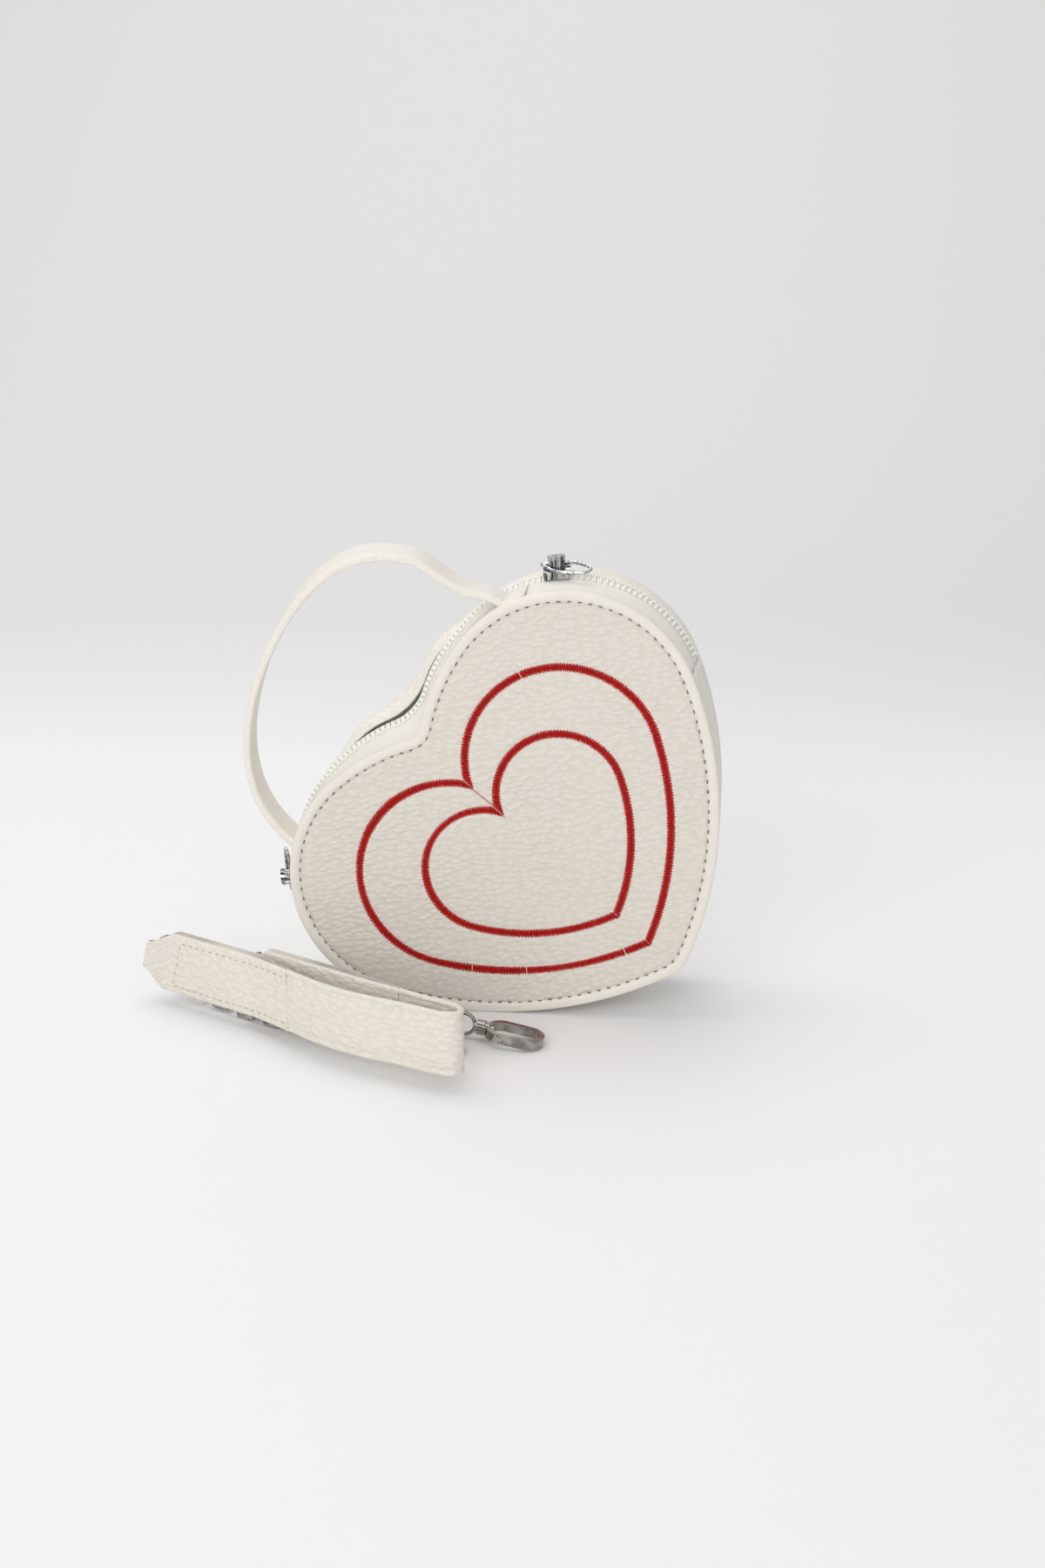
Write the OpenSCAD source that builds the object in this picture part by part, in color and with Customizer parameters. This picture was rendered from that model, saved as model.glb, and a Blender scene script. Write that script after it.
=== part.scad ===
// Heart shaped purse with a two-way zip, a top handle and a short shoulder strap with chain ends.
// The bag stands on one flank, as hearts do: the cleft points up and to the left.
// X is to the right, Y to the rear and Z up; the origin is on the floor, midway between the two panels.

/* [Heart outline] */
// Radius of each lobe's outer shoulder
lobe_r = 55.6; // [52:0.2:60]
// Distance of each lobe's centre from the heart's axis
lobe_x = 46.6; // [44:0.2:49]
// Radius of the flatter crown between a lobe and the cleft
crown_r = 93.4; // [88:0.2:105]
// Angle at the lobe's centre where its crown meets its shoulder
crown_angle = 96; // [92:1:100]
// Radius of the long flanks
flank_r = 163.5; // [155:0.5:180]
// Radius of the rounded tip
tip_r = 17.3; // [15:0.1:20]
// Distance from the lobes' centres down to the tip's centre
tip_drop = 89.5; // [86:0.5:94]
// Fillet radius of the panels' cleft
cleft_r = 8; // [6:0.5:11]
// Lean of the heart's axis from upright
lean = 48.4; // [46:0.1:50]

/* [Panels and bands] */
// Depth of the bag from front panel to back panel
bag_depth = 50; // [46:0.5:60]
// Thickness of a leather panel
panel_t = 1.8; // [1.4:0.1:2.2]
// Width of the turned band round each panel, from stitch line to edge
band_w = 4.3; // [3.5:0.1:6]
// Depth of the band's turned edge
band_d = 4.6; // [4:0.1:5.5]
// How far the band stands proud of its panel
band_rise = 0.7; // [0.4:0.1:1]
// Thickness of a stiffening board
board_t = 1.2; // [0.8:0.1:1.6]
// Thickness of the lining cloth
lining_t = 0.6; // [0.4:0.1:0.8]
// Gap kept between layers of the bag
layer_gap = 0.2; // [0.1:0.05:0.3]

/* [Gusset and zip] */
// Wall of the leather gusset strips
gusset_t = 1.6; // [1.2:0.1:2]
// Height of the back strip's swell above the heart's outline
strip_swell = 1.8; // [1.6:0.1:3]
// Thickness of the back strip
strip_t = 1.2; // [0.8:0.1:1.4]
// Extra swell of the back strip across the crowns and the cleft
crown_swell = 7.4; // [4:0.1:9]
// Cleft fillet of the zip, larger than the panels'
zip_cleft_r = 26; // [20:0.5:34]
// Cleft fillet of the swollen back strip
strip_cleft_r = 48; // [35:1:60]
// Thickness of the woven zip tape
tape_t = 0.7; // [0.5:0.1:1]
// Outward rise of the tape at the zip's chain
tape_rise = 0.2; // [0.1:0.1:1]
// Extra rise of the chain across the crowns and the cleft
tape_crown = 2.2; // [1.4:0.1:3]
// Distance between one tooth and the next of its own row
tooth_pitch = 2.5; // [2.3:0.1:3.2]
// Width of a tooth along the zip
tooth_w = 0.95; // [0.8:0.05:1]
// Height of a tooth above its tape
tooth_h = 2.2; // [1.8:0.1:2.6]
// How far the heads of the two rows reach past each other
tooth_mesh = 2; // [1:0.1:2.4]
// Length of the cloth tab over each end of the zip
tab_l = 6; // [4:0.5:9]
// Width of the cloth tab
tab_w = 13; // [9:0.5:18]
// Thickness of the cloth tab
tab_t = 1.2; // [0.8:0.1:1.6]

/* [Sliders] */
// Distance along each lobe from the handle's foot to its slider
slider_gap = 21; // [20:0.5:24]
// Length of a slider's plate along the zip
slider_l = 11; // [9:0.5:13]
// Width of a slider's plate across the zip
slider_w = 9; // [8.8:0.1:9.4]
// Thickness of the slider's plate and flange
slider_t = 1.1; // [0.9:0.1:1.4]
// Slope of the plate's underside, which lets the back row of teeth out
slider_slope = 19; // [17:0.5:22]
// Diameter of the slider's barrel
barrel_d = 7; // [6:0.2:8]
// Height of the barrel
barrel_h = 6.2; // [5.6:0.2:7.6]
// Number of flutes round the barrel
barrel_flutes = 18; // [12:1:24]
// Thickness of the bail's wire
bail_wire = 1.3; // [1:0.1:1.6]
// Length of the bail along the zip
bail_l = 20; // [16:0.5:24]
// Width of the bail across the zip
bail_w = 8.4; // [8:0.2:10]
// How far the bail hangs below level at rest
bail_rest = 24; // [20:1:28]

/* [Handle] */
// Width of the handle strap
handle_w = 16; // [14:0.1:16.4]
// Thickness of the handle strap
handle_t = 3; // [2.4:0.1:4]
// Half of the handle's span at its feet
handle_half = 70.8; // [64:0.1:74]
// Distance of the feet's middle to the left of the heart's axis
handle_shift = 4.7; // [0:0.1:6]
// How far the handle's top leans to the right of its feet
handle_skew = 17; // [0:0.5:20]
// How far the handle's feet start below the lobes' tops
foot_drop = 3.9; // [1.6:0.1:5.6]
// Rise of the handle above its feet
handle_rise = 65.5; // [55:0.5:70]
// How far the handle's right side dips inwards beside its foot
handle_dip = 3.7; // [0:0.1:5]
// How far the handle bends above the lobes' tops
bend_rise = 8.4; // [6.4:0.1:12.4]
// Clearance between the handle and its feet
handle_gap = 0.3; // [0.3:0.05:0.6]

/* [Embroidery] */
// Width of a satin-stitch line
satin_w = 3; // [2:0.1:4]
// Height of the satin stitch above the panel
satin_h = 0.5; // [0.3:0.1:0.8]
// Lobe radius of the outer stitched heart
outer_lobe_r = 41.1; // [38:0.1:44]
// Lobe distance from the axis on the outer stitched heart
outer_lobe_x = 33.4; // [31:0.1:36]
// Lobe centre height of the outer stitched heart
outer_lobe_z = -8.8; // [-12:0.1:-6]
// Flank radius of the outer stitched heart
outer_flank_r = 134.8; // [125:0.1:145]
// Height of the outer stitched heart's point
outer_point_z = -88; // [-90:0.1:-86]
// Lobe radius of the inner stitched heart
inner_lobe_r = 26.7; // [24:0.1:29]
// Lobe distance from the axis on the inner stitched heart
inner_lobe_x = 22.5; // [21:0.1:24]
// Lobe centre height of the inner stitched heart
inner_lobe_z = -17.5; // [-20:0.1:-15]
// Flank radius of the inner stitched heart
inner_flank_r = 88.4; // [80:0.1:95]
// Height of the inner stitched heart's point
inner_point_z = -70; // [-72:0.1:-68]

/* [Shoulder strap] */
// Place of the strap's fold to the right of the origin
strap_x = -3.7; // [-8:0.1:4]
// Place of the strap's fold in front of the origin
strap_y = 104.1; // [98:0.1:115]
// Heading of the folded strap on the floor, from its fold to its ends
strap_heading = 151; // [149:0.5:154]
// Width of the leather strap
strap_w = 30; // [26:0.5:34]
// Thickness of the leather strap
strap_t = 2.4; // [2:0.1:2.8]
// Height of the strap's lower edge above the floor, where it rests on its chain
strap_lift = 4.6; // [4.4:0.1:6]
// Length of the front run of the folded strap, up to its ring
strap_run = 158.5; // [150:0.5:165]
// Length of the rear run of the folded strap, up to its ring
strap_back = 113; // [100:0.5:120]
// Distance between the two runs at the fold
strap_gap = 4.8; // [4.4:0.1:6]
// Further spread of the two runs away from the fold
strap_spread = 3; // [2:0.1:5]
// Depth of the front run's bulge beside the fold
strap_bulge = 7.6; // [0:0.1:9]
// Length of the leather end folded round each ring
wrap_l = 55; // [40:1:60]
// Thickness of the folded end leather
wrap_t = 1.3; // [1:0.1:1.6]
// Length of the end's taper
taper_l = 13; // [10:0.5:18]

/* [Strap metal] */
// Wire of the strap's rings and D-rings
wire_d = 2; // [1.8:0.1:2.2]
// Outer length of a ring
ring_l = 18; // [16:0.5:20]
// Outer width of a ring
ring_w = 10; // [9:0.5:12]
// Corner radius of a ring's wire
ring_r = 3; // [2.5:0.1:3.5]
// Wire of the chain
link_wire = 1.4; // [1.2:0.1:1.5]
// Outer length of a chain link
link_l = 11; // [10.5:0.5:11.5]
// Outer width of a chain link
link_w = 7.4; // [7.2:0.1:8]
// Turn of each link from level, to one side and the other
link_turn = 28; // [26:1:30]
// Slack of the chain between one link and the next
link_slack = 0.3; // [0.2:0.05:0.5]
// Length of the hook's oval
hook_l = 25; // [22:0.5:28]
// Width of the hook's oval
hook_w = 15; // [13:0.5:17]
// Height of the hook's flat band
hook_h = 3.8; // [3.4:0.1:4.4]
// Thickness of the hook's flat band
hook_t = 2.2; // [1.8:0.1:2.6]
// Diameter of the hook's neck
neck_d = 6.4; // [5:0.2:7]
// Length of the hook's neck
neck_l = 5; // [4:0.2:6]
// Height of the hook's neck above the floor
neck_z = 6; // [5.6:0.1:6.5]
// Slope of the hook down to the floor
hook_slope = 7.5; // [6:0.5:8]
// Diameter of the swivel's shaft
shaft_d = 3; // [2.6:0.1:3.4]
// Outer diameter of the swivel's eye
eye_d = 11; // [10:0.2:11.4]
// Wire of the swivel's eye
eye_wire = 1.7; // [1.5:0.1:2]
// Diameter of the gate's pin
pin_d = 1.4; // [1.2:0.1:1.6]
// Length of the gate
gate_l = 11; // [9:0.5:12]
// Running clearance round a shaft or pin
run_gap = 0.06; // [0.04:0.01:0.08]

/* [Rings on the back] */
// Distance of each leather loop from the heart's axis
loop_x = 46; // [40:1:54]
// Height of each leather loop above the lobes' centres
loop_z = 24; // [10:1:30]
// Width of each leather loop
loop_w = 9.4; // [8:0.1:9.6]
// Length of each leather loop
loop_l = 20; // [16:1:26]

/* [Hidden] */

// Facets of round parts
$fn = 48;

leather = "#e9e2d6";
leather_side = "#dcd3c4";
tape_col = "#dfe3da";
teeth_col = "#f4f4f0";
lining_col = "#d8cdbb";
board_col = "#b9a88e";
thread_col = "#b01c1c";
metal = "#b8bbc0";
dark_metal = "#6d7076";

// Points of the heart's construction, in its own plane with the lobes' centres at height zero
lobe_c = [lobe_x, 0];
crown_c = lobe_c - (crown_r - lobe_r) * [cos(crown_angle), sin(crown_angle)];
tip_c = [0, -tip_drop];

// Crossing of two circles, on the left of the line from the first centre to the second
function meet(p, rp, q, rq) =
    let (d = q - p, l = norm(d), a = (rp * rp - rq * rq + l * l) / (2 * l), h = sqrt(rp * rp - a * a))
    p + a / l * d + h / l * [d.y, -d.x];

function heading(v) = atan2(v.y, v.x);
function polar(r, a) = r * [cos(a), sin(a)];

flank_c = meet(lobe_c, flank_r - lobe_r, tip_c, flank_r - tip_r);
flank_a0 = heading(lobe_c - flank_c);
flank_a1 = heading(tip_c - flank_c);

// Centre of the cleft's fillet for a growth of the outline and a fillet radius
function fillet_c(g, rf) =
    [0, crown_c.y + sqrt(pow(crown_r + g + rf, 2) - pow(crown_c.x, 2))];

// The crown's extra swell fades along the crown and the first quarter of the shoulder
crown_fade_share = 0.7;
shoulder_fade_share = 0.25;
function fade(way) = (1 + cos(180 * min(1, way))) / 2;

// The swell settles again over the last part of the zip's path
settle_share = 0.8;
function settle(share) = (1 - cos(180 * max(0, share - settle_share) / (1 - settle_share))) / 2;

// One point of the right half: g grows the outline, b swells it at the crown, rf is the cleft's fillet
// and e is how far it settles at the zip's end
function at_fillet(share, g, b, rf) =
    let (c = fillet_c(g + b, rf), a1 = heading(crown_c - c))
    c + polar(rf, -90 + share * (a1 + 90));
function at_crown(share, g, b, rf) =
    let (c = fillet_c(g + b, rf), a0 = heading(c - crown_c))
    crown_c + polar(crown_r + g + b * fade(share * crown_fade_share), a0 + share * (crown_angle - a0));
function at_shoulder(share, g, b, e) =
    let (way = crown_fade_share + (1 - crown_fade_share) * share / shoulder_fade_share)
    lobe_c + polar(
        lobe_r + g - e * settle(share) + b * fade(way),
        crown_angle + share * (flank_a0 - crown_angle));
function at_flank(share, g) = flank_c + polar(flank_r + g, flank_a0 + share * (flank_a1 - flank_a0));
function at_tip(share, g) = tip_c + polar(tip_r + g, flank_a1 + share * (-90 - flank_a1));

// Where the zip ends, as a share of the shoulder's arc
zip_share = 0.992;

// Right half of the zip's path, from the cleft outwards, with n steps to a quarter of the lobe
function upper(g, b, rf, e = 0, n = 7) = concat(
    [for (i = [0 : n - 1]) at_fillet(i / n, g, b, rf)],
    [for (i = [0 : n - 1]) at_crown(i / n, g, b, rf)],
    [for (i = [0 : 2 * n]) at_shoulder(zip_share * i / (2 * n), g, b, e)]);
// Right half of the path below the zip, down to the tip
function lower(g, n = 5) = concat(
    [for (i = [0 : 2 * n - 1]) at_flank(i / n / 2, g)],
    [for (i = [0 : n]) at_tip(i / n, g)]);

function flipped(path) = [for (i = [len(path) - 1 : -1 : 0]) [-path[i].x, path[i].y]];
function tail(path) = [for (i = [1 : len(path) - 1]) path[i]];
function but_last(path) = [for (i = [0 : len(path) - 2]) path[i]];

// Whole paths: the zip's, from the left end over both lobes to the right end, and the lower one
function upper_path(g, b, rf, e = 0, n = 7) =
    concat(flipped(tail(upper(g, b, rf, e, n))), upper(g, b, rf, e, n));
function lower_path(g, n = 5) = concat(lower(g, n), tail(flipped(lower(g, n))));
function right_half(g, rf) = concat(upper(g, 0, rf), lower(g));
function outline(g, rf) = concat(right_half(g, rf), flipped(tail(but_last(right_half(g, rf)))));

// Height of the line along which the back folds open
fold_z = lobe_r * sin(flank_a0 + (1 - zip_share) / 2 * (crown_angle - flank_a0));
fold_y = bag_depth / 2 + band_rise + layer_gap;

// Depths, from the front panel's face at the front to the back panel's face at the rear
front_y = -bag_depth / 2;
back_y = bag_depth / 2;
board_y = front_y + panel_t + layer_gap;
lining_y = board_y + board_t + layer_gap;
chain_g = tape_rise;

// The floor point under the left flank is the origin
left_flank_c = [-flank_c.x, flank_c.y];
function turned(p) = [p.x * cos(lean) - p.y * sin(lean), p.x * sin(lean) + p.y * cos(lean)];
foot_point = turned(left_flank_c) - [0, flank_r];

// Places what is drawn in the heart's own plane
module standing() {
    translate([-foot_point.x, 0, -foot_point.y])
        rotate([0, -lean, 0])
            children();
}

// Turns a flat drawing up into the heart's plane, between two depths
module slab(y0, y1) {
    translate([0, y1, 0])
        rotate([90, 0, 0])
            linear_extrude(y1 - y0)
                children();
}

// Mirrors front to back
module mirror_y() {
    mirror([0, 1, 0])
        children();
}

// Sweeps a section along paths: paths[j] is the path of the section's corner j, at depth ys[j]
module sweep(paths, ys, closed = false) {
    n = len(paths[0]);
    k = len(paths);
    points = [for (i = [0 : n - 1]) for (j = [0 : k - 1]) [paths[j][i].x, ys[j], paths[j][i].y]];
    sides = [for (i = [0 : n - (closed ? 1 : 2)]) for (j = [0 : k - 1])
        let (
            a = i * k + j,
            b = i * k + (j + 1) % k,
            c = (i + 1) % n * k + (j + 1) % k,
            d = (i + 1) % n * k + j)
        each [[a, b, c], [a, c, d]]];
    ends = closed ? [] : [[for (j = [k - 1 : -1 : 0]) j], [for (j = [0 : k - 1]) (n - 1) * k + j]];
    polyhedron(points, concat(sides, ends));
}

// Section of the front band: depth and growth of the outline at each corner
band_section = [
    [front_y + panel_t, -band_w],
    [front_y, -band_w],
    [front_y - band_rise, -band_w * 3 / 4],
    [front_y - band_rise, -band_w / 4],
    [front_y, 0],
    [front_y + band_d - gusset_t / 2, 0],
    [front_y + band_d, -gusset_t / 4],
    [front_y + band_d, -gusset_t]];

module front_panel() {
    color(leather)
        standing()
            slab(front_y, front_y + panel_t)
                polygon(outline(-band_w, cleft_r + band_w));
}

module front_band() {
    color(leather)
        standing()
            sweep([for (s = band_section) outline(s.y, cleft_r - s.y)], [for (s = band_section) s.x], true);
}

board_g = -band_w - layer_gap;

module front_board() {
    color(board_col)
        standing()
            slab(board_y, board_y + board_t)
                polygon(outline(board_g, cleft_r - board_g));
}

module front_lining() {
    color(lining_col)
        standing()
            slab(lining_y, lining_y + lining_t)
                polygon(outline(board_g, cleft_r - board_g));
}

// The slip pocket is sewn to the front lining and open at the top
pocket_w = lobe_r * 1.9;
pocket_top = lobe_r * 0.2;
pocket_drop = tip_drop * 0.55;
pocket_seam = band_w;
module inner_pocket() {
    y0 = lining_y + lining_t + layer_gap / 2;
    spread = 2 * lining_t;
    color(lining_col)
        standing()
            difference() {
                slab(y0, y0 + spread + lining_t)
                    translate([-pocket_w / 2, -pocket_drop])
                        square([pocket_w, pocket_drop + pocket_top]);
                slab(y0, y0 + spread)
                    translate([-pocket_w / 2 + pocket_seam, -pocket_drop + pocket_seam])
                        square([pocket_w - 2 * pocket_seam, pocket_drop + pocket_top]);
            }
}

// Plain heart outlines with a sharp cleft and point
function heart_half(r, x, z, fr, point_z, n = 14) =
    let (
        c = meet([x, z], fr - r, [0, point_z], fr),
        a0 = heading([-x, sqrt(r * r - x * x)]),
        a1 = heading([x, z] - c),
        a2 = heading([0, point_z] - c))
    concat(
        [for (i = [0 : n - 1]) [x, z] + polar(r, a0 + (a1 - a0) * i / n)],
        [for (i = [0 : n / 2]) c + polar(fr, a1 + (a2 - a1) * i / (n / 2))]);
function heart_ring(r, x, z, fr, point_z) =
    let (h = heart_half(r, x, z, fr, point_z)) concat(h, flipped(tail(but_last(h))));

module satin_heart(r, x, z, fr, point_z) {
    half = satin_w / 2;
    slab(front_y - satin_h, front_y)
        difference() {
            polygon(heart_ring(r + half, x, z, fr + half, point_z - half));
            polygon(heart_ring(r - half, x, z, fr - half, point_z + half));
        }
}

module embroidery_outer() {
    color(thread_col)
        standing()
            satin_heart(outer_lobe_r, outer_lobe_x, outer_lobe_z, outer_flank_r, outer_point_z);
}

module embroidery_inner() {
    color(thread_col)
        standing()
            satin_heart(inner_lobe_r, inner_lobe_x, inner_lobe_z, inner_flank_r, inner_point_z);
}

// The zip's chain lies on the tapes, midway between the panels
tooth_y = slider_w / 2 - slider_t - layer_gap;
tape_in = tooth_y * 0.7;

// The front tape runs from its band to the chain, starting at a growth of the outline
module tape(edge) {
    y0 = front_y + band_d + layer_gap;
    y1 = -tape_in;
    sweep([
        upper_path(edge, 0, cleft_r + gusset_t),
        upper_path(chain_g, tape_crown, zip_cleft_r, chain_g),
        upper_path(chain_g - tape_t, tape_crown, zip_cleft_r, chain_g),
        upper_path(edge - tape_t, 0, cleft_r + gusset_t)],
        [y0, y1, y1, y0]);
}

module front_tape() {
    color(tape_col)
        standing()
            tape(-gusset_t / 2);
}

// Distance along the chain's path, then the place at a distance
chain_path = upper_path(chain_g + layer_gap / 2, tape_crown, zip_cleft_r, chain_g, 16);
chain_steps = [for (i = [1 : len(chain_path) - 1]) norm(chain_path[i] - chain_path[i - 1])];
function sum_to(v, n) = n <= 0 ? 0 : v[n - 1] + sum_to(v, n - 1);
chain_marks = [for (i = [0 : len(chain_steps)]) sum_to(chain_steps, i)];
chain_length = chain_marks[len(chain_marks) - 1];
chain_xs = [for (i = [0 : len(chain_path) - 1]) [chain_marks[i], chain_path[i].x]];
chain_zs = [for (i = [0 : len(chain_path) - 1]) [chain_marks[i], chain_path[i].y]];
function chain_at(d) = [lookup(d, chain_xs), lookup(d, chain_zs)];
function chain_heading(d) = heading(chain_at(d + tooth_w) - chain_at(d - tooth_w));

tooth_count = floor((chain_length - tooth_pitch) / tooth_pitch);
chain_start = (chain_length - (tooth_count - 0.5) * tooth_pitch) / 2;

// The rows mesh as deep as lets the back swing open: full on the lobes, head to head near the zip's ends
tooth_gap = tooth_pitch / 2 - tooth_w;
lift_share = 0.8;
function mesh(d) =
    let (rise = max(0, chain_at(d).y - fold_z), climb = max(0.05, abs(sin(chain_heading(d)))))
    min(tooth_mesh, lift_share * tooth_gap * rise / (fold_y * climb));

module tooth(length) {
    nose = tooth_w / 4;
    linear_extrude(tooth_h)
        polygon([
            [-tooth_w / 2, 0],
            [tooth_w / 2, 0],
            [tooth_w / 2, length - nose],
            [nose, length],
            [-nose, length],
            [-tooth_w / 2, length - nose]]);
}

module teeth(way) {
    for (i = [0 : tooth_count - 1]) {
        d = chain_start + (i + (way > 0 ? 0 : 0.5)) * tooth_pitch;
        p = chain_at(d);
        translate([p.x, -way * tooth_y, p.y])
            rotate([0, -chain_heading(d), 0])
                rotate([0, 0, way > 0 ? 0 : 180])
                    tooth(tooth_y - layer_gap / 2 + mesh(d) / 2);
    }
}

module front_teeth() {
    color(teeth_col)
        standing()
            teeth(1);
}

// Leather gusset round the flanks and the tip, sewn between the two bands
gusset_sink = 0.4;
module lower_gusset() {
    y0 = front_y + band_d + layer_gap;
    color(leather_side)
        standing()
            sweep([for (g = [-gusset_sink - gusset_t, -gusset_sink, -gusset_sink, -gusset_sink - gusset_t])
                lower_path(g)],
                [y0, y0, -y0, -y0]);
}

// Part of the heart above or below the fold line
module above_fold() {
    intersection() {
        children();
        translate([-lobe_x - 2 * lobe_r, fold_z + layer_gap])
            square([2 * lobe_x + 4 * lobe_r, 4 * lobe_r]);
    }
}
module below_fold() {
    intersection() {
        children();
        translate([-lobe_x - 2 * lobe_r, fold_z - layer_gap - 4 * lobe_r])
            square([2 * lobe_x + 4 * lobe_r, 4 * lobe_r]);
    }
}

module lower_back_panel() {
    color(leather)
        standing()
            slab(back_y - panel_t, back_y)
                below_fold()
                    polygon(outline(-band_w, cleft_r + band_w));
}

module lower_back_band() {
    color(leather)
        standing()
            mirror_y()
                sweep([for (s = band_section) lower_path(s.y)], [for (s = band_section) s.x]);
}

module lower_back_lining() {
    color(lining_col)
        standing()
            slab(-lining_y - lining_t, -lining_y)
                below_fold()
                    polygon(outline(board_g, cleft_r - board_g));
}

// Cloth tabs close the ends of the zip over the start of the gusset
module zip_tab(side) {
    a = flank_a0 - tab_l / 2 / flank_r * 180 / PI;
    p = flank_c + polar(flank_r - gusset_sink + layer_gap / 2, a);
    color(tape_col)
        standing()
            scale([side, 1, 1])
                translate([p.x, 0, p.y])
                    rotate([0, 90 - a, 0])
                        translate([-tab_l / 2, -tab_w / 2, 0])
                            cube([tab_l, tab_w, tab_t]);
}
module zip_tab_right() {
    zip_tab(1);
}
module zip_tab_left() {
    zip_tab(-1);
}

module upper_back_panel() {
    color(leather)
        standing()
            slab(back_y - panel_t, back_y)
                above_fold()
                    polygon(outline(-band_w, cleft_r + band_w));
}

module upper_back_band() {
    color(leather)
        standing()
            mirror_y()
                sweep(
                    [for (s = band_section) upper_path(s.y, 0, cleft_r - s.y)],
                    [for (s = band_section) s.x]);
}

module upper_back_board() {
    color(board_col)
        standing()
            slab(-board_y - board_t, -board_y)
                above_fold()
                    polygon(outline(board_g, cleft_r - board_g));
}

module upper_back_lining() {
    color(lining_col)
        standing()
            slab(-lining_y - lining_t, -lining_y)
                above_fold()
                    polygon(outline(board_g, cleft_r - board_g));
}

// The swollen leather strip between the zip and the back band
strip_y0 = slider_w / 2 + layer_gap * 2;
strip_y1 = back_y - band_d - layer_gap;
// Depth, height, extra swell and cleft fillet of each corner of the strip's outer side, as shares
strip_shares = [
    [0, 0.8, 0.6, 0.3],
    [0.22, 1, 0.95, 0.9],
    [0.5, 0.9, 1, 1],
    [0.8, 0.4, 0.5, 0.5],
    [1, 0, 0, -0.6]];
// How much of the swell settles again at the zip's ends
settled_share = 0.26;
module back_strip() {
    low = -strip_t / 4;
    outer = [for (s = strip_shares) [
        strip_y0 + s[0] * (strip_y1 - strip_y0),
        low + s[1] * (strip_swell - low),
        crown_swell * s[2],
        max(cleft_r + gusset_t, zip_cleft_r + (strip_cleft_r - zip_cleft_r) * s[3]),
        s[1] * (strip_swell - low) * settled_share]];
    inner = [for (o = reversed(outer)) [o[0], o[1] - strip_t, o[2], o[3], o[4]]];
    section = concat(outer, inner);
    color(leather_side)
        standing()
            sweep([for (s = section) upper_path(s[1], s[2], s[3], s[4])], [for (s = section) s[0]]);
}

module back_tape() {
    color(tape_col)
        standing()
            mirror_y()
                tape(-strip_t - layer_gap * 4);
}

module back_teeth() {
    color(teeth_col)
        standing()
            teeth(-1);
}

// A ring of round wire with rounded corners, lying flat, with its middle at the origin
module wire_ring(l, w, r, d) {
    for (x = [-1, 1])
        for (y = [-1, 1])
            scale([x, y, 1])
                translate([(l - d) / 2 - r, (w - d) / 2 - r, 0])
                    rotate_extrude(angle = 90)
                        translate([r, 0])
                            circle(d / 2);
    for (y = [-1, 1])
        translate([r + d / 2 - l / 2, y * (w - d) / 2, 0])
            rotate([0, 90, 0])
                cylinder(l - d - 2 * r, d = d);
    if (w - d - 2 * r > d / 8)
        for (x = [-1, 1])
            translate([x * (l - d) / 2, w / 2 - d / 2 - r, 0])
                rotate([90, 0, 0])
                    cylinder(w - d - 2 * r, d = d);
}

// Leather loops on the back, each with a tunnel for its D-ring's bar
loop_plate = wrap_t;
tunnel_r = wire_d / 2 + run_gap;
tunnel_y = back_y + tunnel_r + wrap_t * 1.05;
module dee_loop(side) {
    color(leather)
        standing()
            translate([side * loop_x - loop_w / 2, 0, loop_z])
                difference() {
                    union() {
                        translate([0, back_y, 0])
                            cube([loop_w, loop_plate, loop_l]);
                        translate([0, tunnel_y, 0])
                            rotate([0, 90, 0])
                                cylinder(loop_w, r = tunnel_r + wrap_t * 0.98);
                    }
                    translate([-loop_w / 2, tunnel_y, 0])
                        rotate([0, 90, 0])
                            cylinder(2 * loop_w, r = tunnel_r);
                }
}
module dee_loop_right() {
    dee_loop(1);
}
module dee_loop_left() {
    dee_loop(-1);
}

module dee_ring(side) {
    color(metal)
        standing()
            translate([side * loop_x, tunnel_y, loop_z - (ring_w - wire_d) / 2])
                rotate([90, 0, 0])
                    wire_ring(ring_l, ring_w, ring_r, wire_d);
}
module dee_ring_right() {
    dee_ring(1);
}
module dee_ring_left() {
    dee_ring(-1);
}

// Top handle: its outer side runs from the right foot over the top to the left foot
handle_y = front_y + band_d + layer_gap + handle_w / 2;
dip_arc = 40;
function dip_at(a) = handle_dip * pow(sin(180 * max(0, min(1, a / dip_arc))), 2);
handle_foot = lobe_r - foot_drop;
handle_bend = lobe_r + bend_rise;
function handle_at(a) = [
    -handle_shift + handle_half * cos(a) + handle_skew * pow(max(0, sin(a)), 3) - dip_at(a),
    handle_foot + handle_rise * sin(a) - dip_at(a)];
function handle_in(a) =
    let (h = heading(handle_at(a + 1) - handle_at(a - 1)))
    handle_at(a) + polar(handle_t, h + 90);
handle_end_r = handle_w / 2 + handle_gap / 2;
// Half of the arc from the level of the ends' lowest point
handle_low = asin((handle_bend - handle_end_r * 1.04 - handle_foot) / handle_rise);
handle_steps = 40;
handle_arc = [for (i = [0 : handle_steps]) handle_low + (180 - 2 * handle_low) * i / handle_steps];
module handle() {
    color(leather)
        standing()
            difference() {
                slab(handle_y - handle_w / 2, handle_y + handle_w / 2)
                    polygon(concat(
                        [for (a = handle_arc) handle_at(a)],
                        [for (i = [handle_steps : -1 : 0]) handle_in(handle_arc[i])]));
                difference() {
                    translate([-handle_half * 2, handle_y - handle_w, handle_bend - 2 * handle_w])
                        cube([handle_half * 4, 2 * handle_w, 2 * handle_w]);
                    translate([-handle_half * 2.5, handle_y, handle_bend])
                        rotate([0, 90, 0])
                            cylinder(handle_half * 5, r = handle_end_r);
                }
            }
}

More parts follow.
